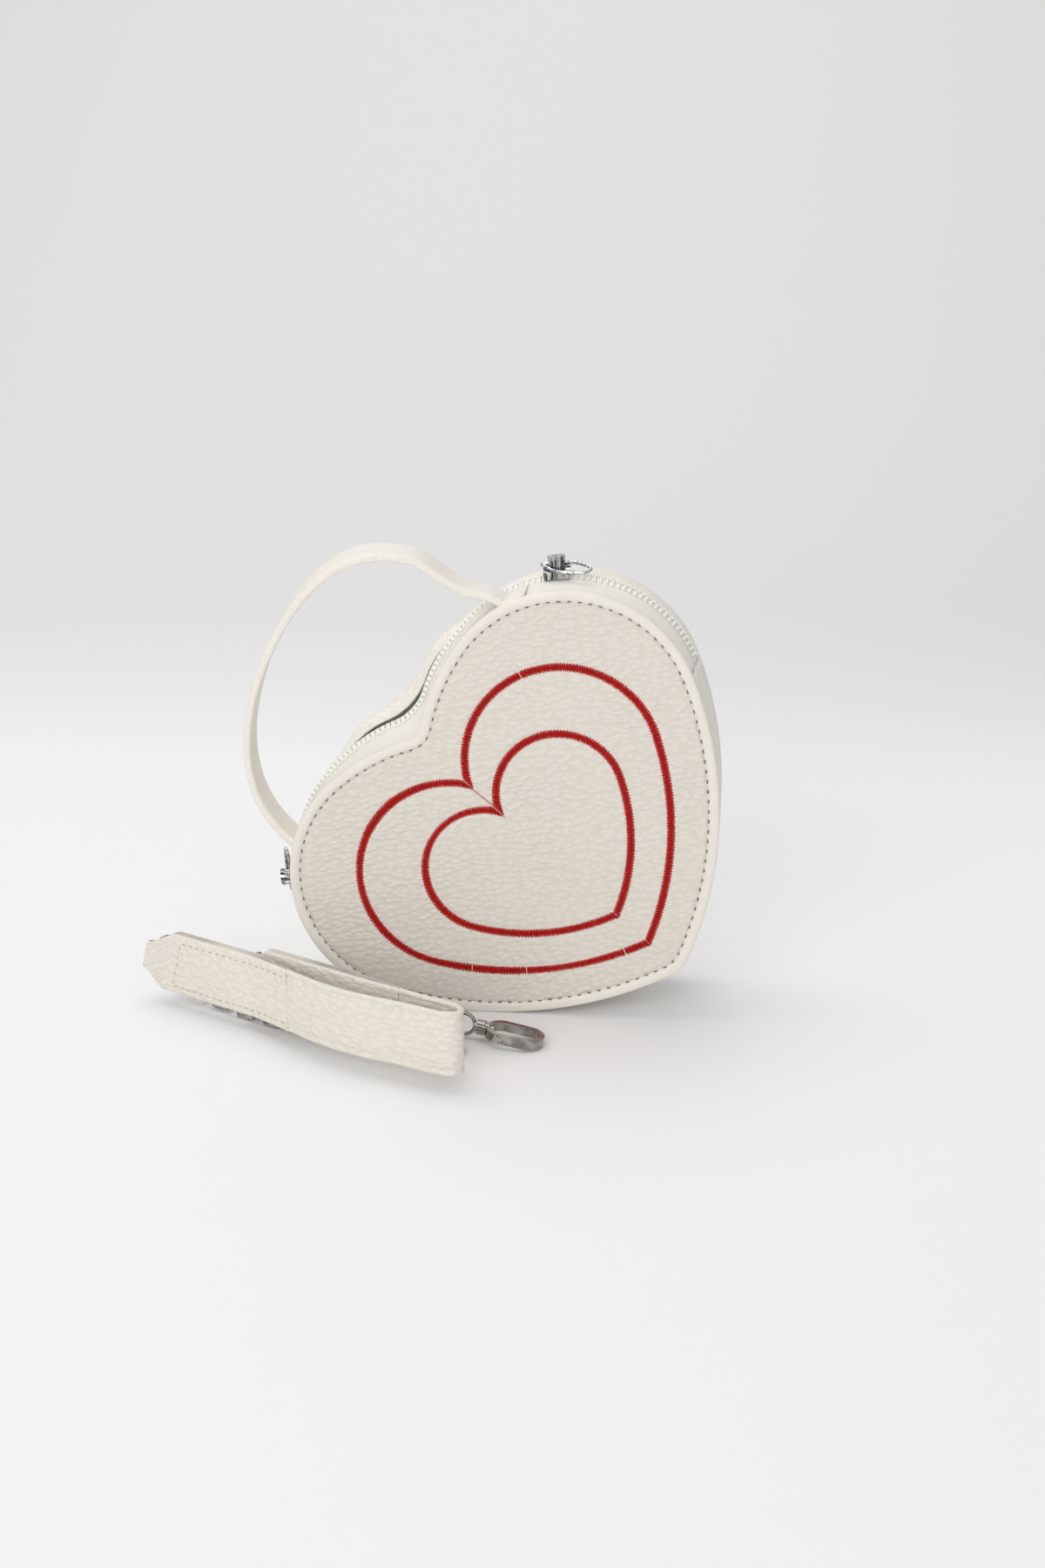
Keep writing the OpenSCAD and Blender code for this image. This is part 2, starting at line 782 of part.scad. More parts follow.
// A foot stands on the front tape and has a hollow for the handle's round end
module handle_foot_part(side) {
    notch_r = handle_end_r + handle_gap;
    top = handle_bend - 1.25 * sqrt(notch_r * notch_r - handle_w * handle_w / 4);
    arc = side > 0 ? [for (a = [-10 : 2 : 14]) a] : [for (a = [190 : -2 : 168]) a];
    color(leather)
        standing()
            difference() {
                slab(handle_y - handle_w / 2, handle_y + handle_w / 2)
                    polygon(concat(
                        [for (a = arc) handle_at(a)],
                        [for (i = [len(arc) - 1 : -1 : 0]) handle_in(arc[i])]));
                translate([-handle_half * 2, handle_y - handle_w, top])
                    cube([handle_half * 4, 2 * handle_w, handle_w]);
                translate([-handle_half * 2.5, handle_y, handle_bend])
                    rotate([0, 90, 0])
                        cylinder(handle_half * 5, r = notch_r);
                translate([side * lobe_x, front_y + band_d, 0])
                    rotate([-90, 0, 0])
                        cylinder(
                            -tape_in - front_y - band_d,
                            r1 = lobe_r - gusset_t / 2 + layer_gap / 2,
                            r2 = lobe_r + chain_g + layer_gap / 2,
                            $fn = 180);
            }
}
module handle_foot_right() {
    handle_foot_part(1);
}
module handle_foot_left() {
    handle_foot_part(-1);
}

// Angle of a handle's foot about its lobe's centre
function foot_angle(side) =
    let (foot = handle_at(side > 0 ? 0 : 180))
    heading([side * foot.x - lobe_x, foot.y]);

// Places a slider's own drawing: X along the zip, Z outwards
module at_slider(side) {
    angle = foot_angle(side) - slider_gap / lobe_r * 180 / PI;
    standing()
        translate([side * lobe_x, 0, 0])
            rotate([0, side > 0 ? 90 - angle : angle - 90, 0])
                children();
}

slider_in = lobe_r + chain_g + layer_gap / 2 + tooth_h + layer_gap;
slider_span = slider_l / slider_in * 180 / PI;
flange_in = lobe_r + chain_g + 2 * layer_gap;
plate_top = slider_in + slider_t;

// The front flange and the plate over the teeth are turned about the lobe's centre
module slider_section() {
    rise = slider_w * tan(slider_slope);
    polygon([
        [flange_in, -slider_w / 2],
        [plate_top, -slider_w / 2],
        [plate_top + slider_t, -slider_w / 4],
        [plate_top + rise * 0.72, slider_w / 4],
        [plate_top + rise * 0.72, slider_w / 2],
        [slider_in + rise / 2, slider_w / 2],
        [slider_in, 0],
        [slider_in, slider_t - slider_w / 2],
        [flange_in, slider_t - slider_w / 2]]);
}

barrel_base = plate_top - slider_t * 0.3;
pin_z = barrel_base + barrel_h * 0.52;
module slider() {
    difference() {
        union() {
            rotate([90, 0, 0])
                rotate([0, 0, 90 - slider_span / 2])
                    rotate_extrude(angle = slider_span)
                        scale([1, -1])
                            slider_section();
            translate([0, 0, barrel_base])
                cylinder(barrel_h - slider_t / 2, d = barrel_d);
            translate([0, 0, barrel_base + barrel_h - slider_t])
                cylinder(slider_t, d = barrel_d * 1.06);
        }
        translate([-barrel_d, 0, pin_z])
            rotate([0, 90, 0])
                cylinder(2 * barrel_d, d = bail_wire + 2 * run_gap);
        for (i = [0 : barrel_flutes - 1])
            rotate([0, 0, (i + 0.5) * 360 / barrel_flutes])
                translate([barrel_d / 2 + slider_t / 4, 0, barrel_base + slider_t * 1.4])
                    cylinder(barrel_h - 3 * slider_t, r = slider_t / 2, $fn = 12);
    }
}
module slider_right() {
    color(metal)
        at_slider(1)
            slider();
}
module slider_left() {
    color(metal)
        at_slider(-1)
            slider();
}

module bail() {
    x = (bail_l - bail_wire) / 2 - barrel_d / 2 - bail_wire - layer_gap;
    translate([0, 0, pin_z])
        rotate([bail_rest, 0, 0])
            translate([x, (bail_wire - bail_w) / 2, 0])
                wire_ring(bail_l, bail_w, bail_wire * 1.4, bail_wire);
}
module bail_right() {
    color(metal)
        at_slider(1)
            bail();
}
module bail_left() {
    color(metal)
        at_slider(-1)
            bail();
}

// Places the strap's own drawing: X from the fold towards the ends, Y towards the front
module on_floor() {
    translate([strap_x, -strap_y, 0])
        rotate([0, 0, strap_heading])
            children();
}

// Middle lines of the two runs in plan: the front one bulges beside the fold, the rear one spreads
bulge_share = 0.66;
spread_share = 0.5;
function front_run(x) = [x, strap_bulge * pow(sin(180 * min(1, x / strap_run / bulge_share)), 1.3)];
function rear_run(x) = [x, -strap_gap - strap_spread * sin(90 * min(1, x / strap_run / spread_share))];
fold_r = strap_gap / 2;
strap_front_end = strap_run - taper_l - wire_d;
strap_rear_end = strap_back - taper_l - wire_d;
strap_steps = 24;
strap_path = concat(
    [for (i = [strap_steps : -1 : 0]) front_run(strap_front_end * i / strap_steps)],
    [for (a = [110 : 20 : 250]) [0, -fold_r] + polar(fold_r, a)],
    [for (i = [0 : strap_steps]) rear_run(strap_rear_end * i / strap_steps)]);

// A line of some thickness: the points of one side, then those of the other
function beside(path, d) = [for (i = [0 : len(path) - 1])
    let (h = heading(path[min(i + 1, len(path) - 1)] - path[max(i - 1, 0)]))
    path[i] + polar(d, h + 90)];
function reversed(list) = [for (i = [len(list) - 1 : -1 : 0]) list[i]];
module ribbon(path, t) {
    polygon(concat(beside(path, t / 2), reversed(beside(path, -t / 2))));
}

module strap_band() {
    color(leather)
        on_floor()
            translate([0, 0, strap_lift])
                linear_extrude(strap_w)
                    ribbon(strap_path, strap_t);
}

// The tapered leather end lies on both faces of the strap and holds a ring in its fold
end_w = ring_l - wire_d - 2 * ring_r - 4 * layer_gap;
end_t = strap_t + 2 * wrap_t + layer_gap;
module strap_end(at, run, band_end) {
    steps = 8;
    start = band_end - wrap_l + taper_l;
    leaf = concat([for (i = [0 : steps]) run(start + (band_end - start) * i / steps)], [run(at)]);
    slot = [for (i = [-1 : steps]) run(start + (band_end - start) * i / steps)];
    end = run(at);
    color(leather)
        on_floor()
            translate([0, 0, strap_lift])
                difference() {
                    union() {
                        linear_extrude(strap_w)
                            ribbon(leaf, end_t);
                        translate([end.x, end.y, 0])
                            cylinder(strap_w, r = end_t * 0.52);
                    }
                    translate([0, 0, -strap_w])
                        linear_extrude(3 * strap_w)
                            ribbon(slot, strap_t + layer_gap);
                    translate([end.x, end.y, -strap_w])
                        cylinder(3 * strap_w, r = wire_d / 2 + run_gap);
                    for (side = [0, 1])
                        translate([0, end.y + strap_w, side * strap_w])
                            rotate([90, 0, 0])
                                linear_extrude(2 * strap_w)
                                    scale([1, side > 0 ? -1 : 1])
                                        polygon([
                                            [band_end + layer_gap, -layer_gap],
                                            [end.x - end_t / 2, (strap_w - end_w) / 2],
                                            [end.x + end_t, (strap_w - end_w) / 2],
                                            [end.x + end_t, -layer_gap]]);
                }
}
module strap_end_front() {
    strap_end(strap_run, function (x) front_run(x), strap_front_end + layer_gap);
}
module strap_end_rear() {
    strap_end(strap_back, function (x) rear_run(x), strap_rear_end + layer_gap);
}

// Each ring's straight side stands in its leather fold and the ring points to the rear
ring_z = strap_lift + strap_w / 2;
ring_reach = ring_w - wire_d;
module strap_ring(p) {
    color(metal)
        on_floor()
            translate([p.x, p.y - ring_reach / 2, ring_z])
                rotate([0, 90, 0])
                    wire_ring(ring_l, ring_w, ring_r, wire_d);
}
module strap_ring_front() {
    strap_ring(front_run(strap_run));
}
module strap_ring_rear() {
    strap_ring(rear_run(strap_back));
}

// Lines of the two chains on the strap's own plan, from ring to swivel, as shares of the strap's run
link_z = link_wire / 2 + (link_w - link_wire) / 2 * sin(link_turn) + layer_gap;
hook_front_at = [strap_run * 0.29, -strap_w * 0.8];
hook_front_turn = 192;
hook_rear_at = [strap_run * 0.135, -strap_w * 1.5];
hook_rear_turn = 199;
function eye_at(at, turn) = let (p = at - polar(eye_d / 2 + run_gap, turn)) [p.x, p.y, neck_z];
// Corners are cut off a line, so that its links turn little by little
function eased(line) = concat(
    [line[0]],
    [for (i = [0 : len(line) - 2]) for (share = [0.25, 0.75])
        line[i] * (1 - share) + line[i + 1] * share],
    [line[len(line) - 1]]);
function chain_line(p, e, turn, mid) = eased(eased([
    [p.x, p.y - ring_reach, ring_z - ring_l / 2 + wire_d + ring_r],
    [p.x - link_l * 1.6, p.y - ring_reach - link_wire / 2, link_z],
    [mid.x, mid.y, link_z],
    [e.x - link_l * 1.6 * cos(turn), e.y - link_l * 1.6 * sin(turn), link_z],
    e]));
front_line = chain_line(front_run(strap_run), eye_at(hook_front_at, hook_front_turn), hook_front_turn,
    [strap_run * 0.56, -strap_gap - wire_d]);
rear_line = chain_line(rear_run(strap_back), eye_at(hook_rear_at, hook_rear_turn), hook_rear_turn,
    [strap_run * 0.42, -strap_w]);

module link() {
    wire_ring(link_l, link_w, (link_w - link_wire) / 2 * 0.9, link_wire);
}

function steps_of(line) = [for (i = [1 : len(line) - 1]) norm(line[i] - line[i - 1])];
function on_line(line, d) =
    let (
        s = steps_of(line),
        marks = [for (i = [0 : len(s)]) sum_to(s, i)])
    [for (k = [0 : 2]) lookup(d, [for (i = [0 : len(s)]) [marks[i], line[i][k]]])];
module chain(line) {
    length = sum_to(steps_of(line), len(line) - 1);
    first = link_l / 2 - link_wire - wire_d / 2 - 3 * link_slack;
    last = link_l / 2 - link_wire - eye_wire / 2 - 3 * link_slack + (eye_d - eye_wire) / 2;
    gaps = ceil((length - first - last) / (link_l - 2 * link_wire - link_slack));
    pitch = (length - first - last) / gaps;
    for (i = [0 : gaps]) {
        d = first + i * pitch;
        p = on_line(line, d);
        v = on_line(line, d + pitch / 2) - on_line(line, d - pitch / 2);
        translate(p)
            rotate([0, -asin(v.z / norm(v)), atan2(v.y, v.x)])
                rotate([i % 2 == 0 ? link_turn : -link_turn, 0, 0])
                    link();
    }
}
module chain_front() {
    color(dark_metal)
        on_floor()
            chain(front_line);
}
module chain_rear() {
    color(dark_metal)
        on_floor()
            chain(rear_line);
}

// Places a hook's own drawing: X from its neck along the hook, the neck's rear at the origin
module at_hook(at, turn) {
    on_floor()
        translate([at.x, at.y, neck_z])
            rotate([0, hook_slope, turn])
                children();
}

// The swivel: an upright eye, a shaft through the hook's neck and a head inside the oval
head_t = shaft_d / 3;
head_d = shaft_d * 1.25;
oval_x = neck_l - hook_t / 2;
oval_in = hook_w / 2 - hook_t;
head_x = oval_x + hook_t + oval_in - sqrt(oval_in * oval_in - head_d * head_d / 4) + 2 * run_gap;
module swivel() {
    translate([-eye_d / 2 - run_gap, 0, 0])
        rotate([90, 0, 0])
            rotate_extrude()
                translate([(eye_d - eye_wire) / 2, 0])
                    circle(eye_wire / 2);
    translate([-eye_wire * 0.6, 0, 0])
        rotate([0, 90, 0])
            cylinder(eye_wire * 0.6 - 2 * run_gap, d = shaft_d * 1.3);
    translate([-eye_wire * 0.6, 0, 0])
        rotate([0, 90, 0])
            cylinder(eye_wire * 0.6 + head_x + head_t / 2, d = shaft_d);
    translate([head_x, 0, 0])
        rotate([0, 90, 0])
            cylinder(head_t, d = head_d);
}
module swivel_front() {
    color(metal)
        at_hook(hook_front_at, hook_front_turn)
            swivel();
}
module swivel_rear() {
    color(metal)
        at_hook(hook_rear_at, hook_rear_turn)
            swivel();
}

module stadium(l, w) {
    translate([w / 2, -w / 2])
        square([l - w, w]);
    for (x = [w / 2, l - w / 2])
        translate([x, 0])
            circle(w / 2 * 1.0005);
}

// The gate closes the oval's near side and turns on its pin beside the neck
gate_y = (hook_t - hook_w) / 2;
gate_x = oval_x + hook_w / 2 - hook_t / 2;
tongue_h = hook_h / 2;
slot_l = gate_l + 2 * layer_gap;
module hook() {
    difference() {
        union() {
            rotate([0, 90, 0])
                cylinder(neck_l * 0.72, d = neck_d);
            rotate([0, 90, 0])
                cylinder(neck_l + hook_t * 0.2, d = neck_d * 0.82);
            translate([oval_x, 0, -hook_h / 2])
                linear_extrude(hook_h)
                    difference() {
                        stadium(hook_l, hook_w);
                        translate([hook_t, 0])
                            stadium(hook_l - 2 * hook_t, hook_w - 2 * hook_t);
                    }
        }
        translate([-neck_l, 0, 0])
            rotate([0, 90, 0])
                cylinder(oval_x + neck_l + hook_t * 1.5, d = shaft_d + 2 * run_gap);
        for (side = [-1, 1])
            translate([gate_x, gate_y - hook_t, side > 0 ? tongue_h / 2 : -hook_h])
                cube([pin_d * 2, hook_t * 2, hook_h - tongue_h / 2]);
        translate([gate_x + pin_d * 2, gate_y - hook_t, -hook_h])
            cube([slot_l - pin_d * 2, hook_t * 2, 2 * hook_h]);
        translate([gate_x + pin_d, gate_y, -hook_h])
            cylinder(2 * hook_h, d = pin_d);
    }
}
module hook_front() {
    color(metal)
        at_hook(hook_front_at, hook_front_turn)
            hook();
}
module hook_rear() {
    color(metal)
        at_hook(hook_rear_at, hook_rear_turn)
            hook();
}

module gate() {
    w = hook_t - layer_gap;
    difference() {
        translate([gate_x + pin_d, gate_y, -hook_h / 2])
            linear_extrude(hook_h)
                union() {
                    circle(w / 2, $fn = 12);
                    translate([0, -w / 2 * cos(15)])
                        square([slot_l - pin_d - layer_gap, w * cos(15)]);
                }
        translate([gate_x, gate_y - hook_t, -tongue_h / 2 - layer_gap / 2])
            cube([pin_d * 2 + 2 * layer_gap, 2 * hook_t, tongue_h + layer_gap]);
        translate([gate_x + pin_d, gate_y, -hook_h])
            cylinder(2 * hook_h, d = pin_d + 2 * run_gap);
    }
}
module gate_front() {
    color(metal)
        at_hook(hook_front_at, hook_front_turn)
            gate();
}
module gate_rear() {
    color(metal)
        at_hook(hook_rear_at, hook_rear_turn)
            gate();
}

module gate_pin() {
    translate([gate_x + pin_d, gate_y, -hook_h * 0.47])
        cylinder(hook_h * 0.94, d = pin_d);
}
module gate_pin_front() {
    color(dark_metal)
        at_hook(hook_front_at, hook_front_turn)
            gate_pin();
}
module gate_pin_rear() {
    color(dark_metal)
        at_hook(hook_rear_at, hook_rear_turn)
            gate_pin();
}

front_panel();
front_band();
front_board();
front_lining();
inner_pocket();
embroidery_outer();
embroidery_inner();
front_tape();
front_teeth();
lower_gusset();
lower_back_panel();
lower_back_band();
lower_back_lining();
zip_tab_right();
zip_tab_left();
upper_back_panel();
upper_back_band();
upper_back_board();
upper_back_lining();
back_strip();
back_tape();
back_teeth();
dee_loop_right();
dee_loop_left();
dee_ring_right();
dee_ring_left();
handle();
handle_foot_right();
handle_foot_left();
slider_right();
slider_left();
bail_right();
bail_left();
strap_band();
strap_end_front();
strap_end_rear();
strap_ring_front();
strap_ring_rear();
chain_front();
chain_rear();
swivel_front();
swivel_rear();
hook_front();
hook_rear();
gate_front();
gate_rear();
gate_pin_front();
gate_pin_rear();
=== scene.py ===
import math

import bmesh
import bpy
import numpy as np
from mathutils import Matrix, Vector
from mathutils.geometry import delaunay_2d_cdt


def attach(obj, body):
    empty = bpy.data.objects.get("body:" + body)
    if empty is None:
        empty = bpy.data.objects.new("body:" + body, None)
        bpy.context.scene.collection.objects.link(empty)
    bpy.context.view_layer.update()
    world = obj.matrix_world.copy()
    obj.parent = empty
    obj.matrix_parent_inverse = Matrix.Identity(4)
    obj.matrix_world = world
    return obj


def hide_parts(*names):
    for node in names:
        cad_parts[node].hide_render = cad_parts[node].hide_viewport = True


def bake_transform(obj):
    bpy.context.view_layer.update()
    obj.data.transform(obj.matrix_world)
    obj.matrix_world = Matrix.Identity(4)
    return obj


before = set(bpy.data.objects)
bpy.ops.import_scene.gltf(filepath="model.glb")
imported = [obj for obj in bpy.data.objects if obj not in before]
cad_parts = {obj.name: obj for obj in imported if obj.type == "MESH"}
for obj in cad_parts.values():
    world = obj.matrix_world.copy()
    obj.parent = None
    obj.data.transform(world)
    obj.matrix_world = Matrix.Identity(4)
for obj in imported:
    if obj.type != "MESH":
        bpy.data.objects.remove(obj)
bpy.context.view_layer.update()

# Sizes are millimetres, as in the part's source, and become metres when a mesh is made
MM = 0.001

# The heart's outline
LOBE_R = 55.6
LOBE_X = 46.6
CROWN_R = 93.4
CROWN_ANGLE = 96
FLANK_R = 163.5
TIP_R = 17.3
TIP_DROP = 89.5
CLEFT_R = 8
LEAN = 48.4
ZIP_SHARE = 0.992
CROWN_FADE = 0.7
SHOULDER_FADE = 0.25
SETTLE_SHARE = 0.8

# Panels, bands and gusset
DEPTH = 50
PANEL_T = 1.8
BAND_W = 4.3
BAND_D = 4.6
BAND_RISE = 0.7
LAYER_GAP = 0.2
GUSSET_T = 1.6
GUSSET_SINK = 0.4
LINING_T = 0.6
BOARD_T = 1.2
PANEL_CROWN = 0.5
GROOVE_DEPTH = 0.12
FRONT_SEED, BACK_SEED = 3, 4
FRONT_Y = -DEPTH / 2
LINING_Y = FRONT_Y + PANEL_T + BOARD_T + 2 * LAYER_GAP

# Zip
STRIP_SWELL = 1.8
STRIP_T = 1.2
CROWN_SWELL = 7.4
ZIP_CLEFT_R = 26
STRIP_CLEFT_R = 48
SETTLED_SHARE = 0.26
TAPE_T = 0.7
CHAIN_G = 0.2
TAPE_CROWN = 2.2
TAPE_OVER = 2.6
STRIP_OVER = 1.0
TOOTH_PITCH = 2.5
TOOTH_W = 0.95
TOOTH_H = 2.2
TOOTH_MESH = 2
LIFT_SHARE = 0.8
SLIDER_W = 9
SLIDER_T = 1.1
TOOTH_Y = SLIDER_W / 2 - SLIDER_T - LAYER_GAP
TAPE_IN = TOOTH_Y * 0.7
TAB_L = 6
TAB_W = 13
TAB_T = 1.2

# Top handle
HANDLE_W = 17
HANDLE_T = 3.4
HANDLE_HALF = 70.8
HANDLE_SHIFT = 4.7
HANDLE_SKEW = 17
HANDLE_FOOT = 51.7
HANDLE_RISE = 65.5
HANDLE_BEND = 64
HANDLE_DIP = 3.7
DIP_ARC = 40
TONGUE_L = 9
HANDLE_Y = FRONT_Y + BAND_D + LAYER_GAP + 8

# Stitched hearts: lobe radius, lobe distance, lobe height, flank radius and height of the point
SATIN_W = 3.75
SATIN_H = 0.5
OUTER_HEART = (40.5, 34.0, -8.8, 134.8, -88)
INNER_HEART = (26.5, 22.7, -17.5, 88.4, -70)
HEARTS = (OUTER_HEART, INNER_HEART)
HEART_AT = np.array([-0.8, -0.75])
STITCH_PITCH = 0.44
JUMP_R = 0.14

# Shoulder strap
STRAP_X = -3.7
STRAP_Y = 104.1
STRAP_HEADING = 151
STRAP_W = 27.4
STRAP_T = 2.4
STRAP_LIFT = 6.6
STRAP_RUN = 158.5
STRAP_BACK = 113
STRAP_GAP = 4.8
STRAP_SPREAD = 3
STRAP_BULGE = 7.6
FOLD_R = 4.4
WRAP_L = 55
WRAP_T = 1.3
TAPER_L = 13
WIRE_D = 2
END_T = STRAP_T + 2 * WRAP_T + LAYER_GAP
END_W = 12.8
END_SHIFT = 4
END_OVER = 5
LEAF_L = 25
LEAF_T = 0.8
SKEW = 0.3
SEAM_Z = 3.4
SEAM_OFF = 0.82

# Loops on the back
LOOP_X = 46
LOOP_Z = 24
LOOP_W = 9.4
LOOP_L = 20


def unit(v):
    return v / np.linalg.norm(v, axis=-1, keepdims=True)


def polar(r, degrees):
    a = np.radians(degrees)
    return np.stack([r * np.cos(a), r * np.sin(a)], -1)


def heading(v):
    return math.degrees(math.atan2(v[1], v[0]))


def left_of(ways):
    """The same ways turned a quarter to the left."""
    return np.stack([-ways[..., 1], ways[..., 0]], -1)


def meet(p, rp, q, rq):
    """Crossing of two circles, on the right as seen from the first centre to the second."""
    d = q - p
    length = np.linalg.norm(d)
    a = (rp * rp - rq * rq + length * length) / (2 * length)
    h = math.sqrt(rp * rp - a * a)
    return p + a / length * d + h / length * np.array([d[1], -d[0]])


def smooth(x):
    """0 below 0, 1 above 1, and a smooth step between."""
    x = np.clip(x, 0, 1)
    return x * x * (3 - 2 * x)


lobe_c = np.array([LOBE_X, 0.0])
crown_c = lobe_c - polar(CROWN_R - LOBE_R, CROWN_ANGLE)
tip_c = np.array([0.0, -TIP_DROP])
flank_c = meet(lobe_c, FLANK_R - LOBE_R, tip_c, FLANK_R - TIP_R)
flank_a0 = heading(lobe_c - flank_c)
flank_a1 = heading(tip_c - flank_c)
fold_t = LOBE_R * math.sin(math.radians(flank_a0 + (1 - ZIP_SHARE) / 2 * (CROWN_ANGLE - flank_a0)))
lean_cos, lean_sin = math.cos(math.radians(LEAN)), math.sin(math.radians(LEAN))


def turned(s, t):
    return s * lean_cos - t * lean_sin, s * lean_sin + t * lean_cos


# The left flank stands on the floor
foot_x, foot_z = turned(-flank_c[0], flank_c[1])
foot_z -= FLANK_R


def stand(s, y, t):
    """World place of a point in the heart's own plane, s across, t up its axis and y the depth."""
    x, z = turned(np.asarray(s, float), np.asarray(t, float))
    x, y, z = np.broadcast_arrays(x - foot_x, np.asarray(y, float), z - foot_z)
    return np.stack([x, y, z], -1)


def at_depth(path, y):
    """World places of flat points of the heart's plane at a depth."""
    return stand(path[:, 0], y, path[:, 1])


def fade(way):
    """1 at 0, falling smoothly to 0 at 1."""
    return (1 + np.cos(np.pi * np.minimum(1, way))) / 2


def upper(g, b, rf, e=0.0, n=26):
    """Right half of the zip's path: g grows it, b swells the crown, rf is the cleft's fillet, e settles."""
    low = np.array([0, crown_c[1] + math.sqrt((CROWN_R + g + b + rf) ** 2 - crown_c[0] ** 2)])
    share = np.arange(n) / n
    fillet = low + polar(rf, -90 + share * (heading(crown_c - low) + 90))
    start = heading(low - crown_c)
    crown = crown_c + polar(
        CROWN_R + g + b * fade(share * CROWN_FADE), start + share * (CROWN_ANGLE - start))
    share = ZIP_SHARE * np.arange(2 * n + 1) / (2 * n)
    way = CROWN_FADE + (1 - CROWN_FADE) * share / SHOULDER_FADE
    settled = (1 - np.cos(np.pi * np.maximum(0, share - SETTLE_SHARE) / (1 - SETTLE_SHARE))) / 2
    shoulder = lobe_c + polar(
        LOBE_R + g - e * settled + b * fade(way), CROWN_ANGLE + share * (flank_a0 - CROWN_ANGLE))
    return np.vstack([fillet, crown, shoulder])


def lower(g):
    n = 20
    flank = flank_c + polar(FLANK_R + g, flank_a0 + np.arange(2 * n) / n / 2 * (flank_a1 - flank_a0))
    tip = tip_c + polar(TIP_R + g, flank_a1 + np.arange(n + 1) / n * (-90 - flank_a1))
    return np.vstack([flank, tip])


def flipped(path):
    return path[::-1] * [-1, 1]


def upper_path(*shape, **more):
    half = upper(*shape, **more)
    return np.vstack([flipped(half[1:]), half])


def lower_path(g):
    half = lower(g)
    return np.vstack([half, flipped(half)[1:]])


def run_on(path, reach):
    """The path with both its ends carried straight on."""
    first = path[0] + unit(path[0] - path[1]) * reach
    last = path[-1] + unit(path[-1] - path[-2]) * reach
    return np.vstack([first, path, last])


def outline(g, rf):
    half = np.vstack([upper(g, 0, rf), lower(g)])
    return np.vstack([half, flipped(half)[1:-1]])


def along(line):
    """Distance of each point along a line."""
    return np.concatenate([[0], np.cumsum(np.linalg.norm(np.diff(line, axis=0), axis=1))])


def sampled(line, marks):
    """Points and directions of a line at some distances along it."""
    own = along(line)
    at = lambda d: np.stack([np.interp(d, own, line[:, k]) for k in range(line.shape[1])], -1)
    step = 0.4
    return at(marks), unit(at(np.minimum(marks + step, own[-1])) - at(np.maximum(marks - step, 0)))


def distance_to(points, line, closed=True):
    """Shortest distance of each flat point to a line."""
    ends = np.roll(line, -1, axis=0) if closed else line[1:]
    best = np.full(len(points), 1e9)
    for p, q in zip(line, ends):
        d = q - p
        share = np.clip((points - p) @ d / max(d @ d, 1e-12), 0, 1)
        best = np.minimum(best, np.linalg.norm(points - p - share[:, None] * d, axis=1))
    return best


def inside(points, loop):
    x, y = points[:, 0], points[:, 1]
    odd = np.zeros(len(points), bool)
    for (ax, ay), (bx, by) in zip(loop, np.roll(loop, -1, axis=0)):
        crosses = (ay > y) != (by > y)
        odd ^= crosses & (x < (bx - ax) * (y - ay) / (by - ay + 1e-12) + ax)
    return odd


def ripple(points, wavelength, seed):
    """A soft uneven field of about -1 to 1, from a few seeded waves."""
    count = 7
    draw = np.random.default_rng(seed)
    total = np.zeros(points.shape[:-1])
    for _ in range(count):
        way = unit(draw.normal(size=points.shape[-1]))
        total += np.sin(points @ way * math.tau / (wavelength * draw.uniform(0.7, 1.5)) + draw.uniform(0, math.tau))
    return total / math.sqrt(count) / 1.4


# Finishes

def linear(code):
    """Linear colour of an sRGB hex value."""
    parts = [int(code[i:i + 2], 16) / 255 for i in (1, 3, 5)]
    return tuple(c / 12.92 if c <= 0.04045 else ((c + 0.055) / 1.055) ** 2.4 for c in parts) + (1.0,)


def add(tree, kind, settings=None, links=None):
    """Adds a node: settings name its attributes or inputs, links name what feeds its inputs, outputs or nodes."""
    made = tree.nodes.new(kind)
    for key, value in (settings or {}).items():
        if isinstance(key, int) or key in made.inputs:
            made.inputs[key].default_value = value
        else:
            setattr(made, key, value)
    for key, source in (links or {}).items():
        tree.links.new(getattr(source, "outputs", [source])[0], made.inputs[key])
    return made


def finish(name, settings):
    """A new material with its principled shader's own values, its tree and the shader."""
    made = bpy.data.materials.new(name)
    made.use_nodes = True
    shader = made.node_tree.nodes["Principled BSDF"]
    for key, value in settings.items():
        shader.inputs[key].default_value = value
    return made, made.node_tree, shader


def dress(tree, shader, low, high, share, depth, relief, strength=1.0):
    """Two tones mixed by one output, and a relief of a depth in millimetres from the outputs in relief."""
    colour = add(tree, "ShaderNodeMix", {"data_type": "RGBA", 6: linear(low), 7: linear(high)}, {0: share})
    bump = add(tree, "ShaderNodeBump", {"Strength": strength, "Distance": depth * MM}, relief)
    tree.links.new(colour.outputs[2], shader.inputs["Base Color"])
    tree.links.new(bump.outputs["Normal"], shader.inputs["Normal"])


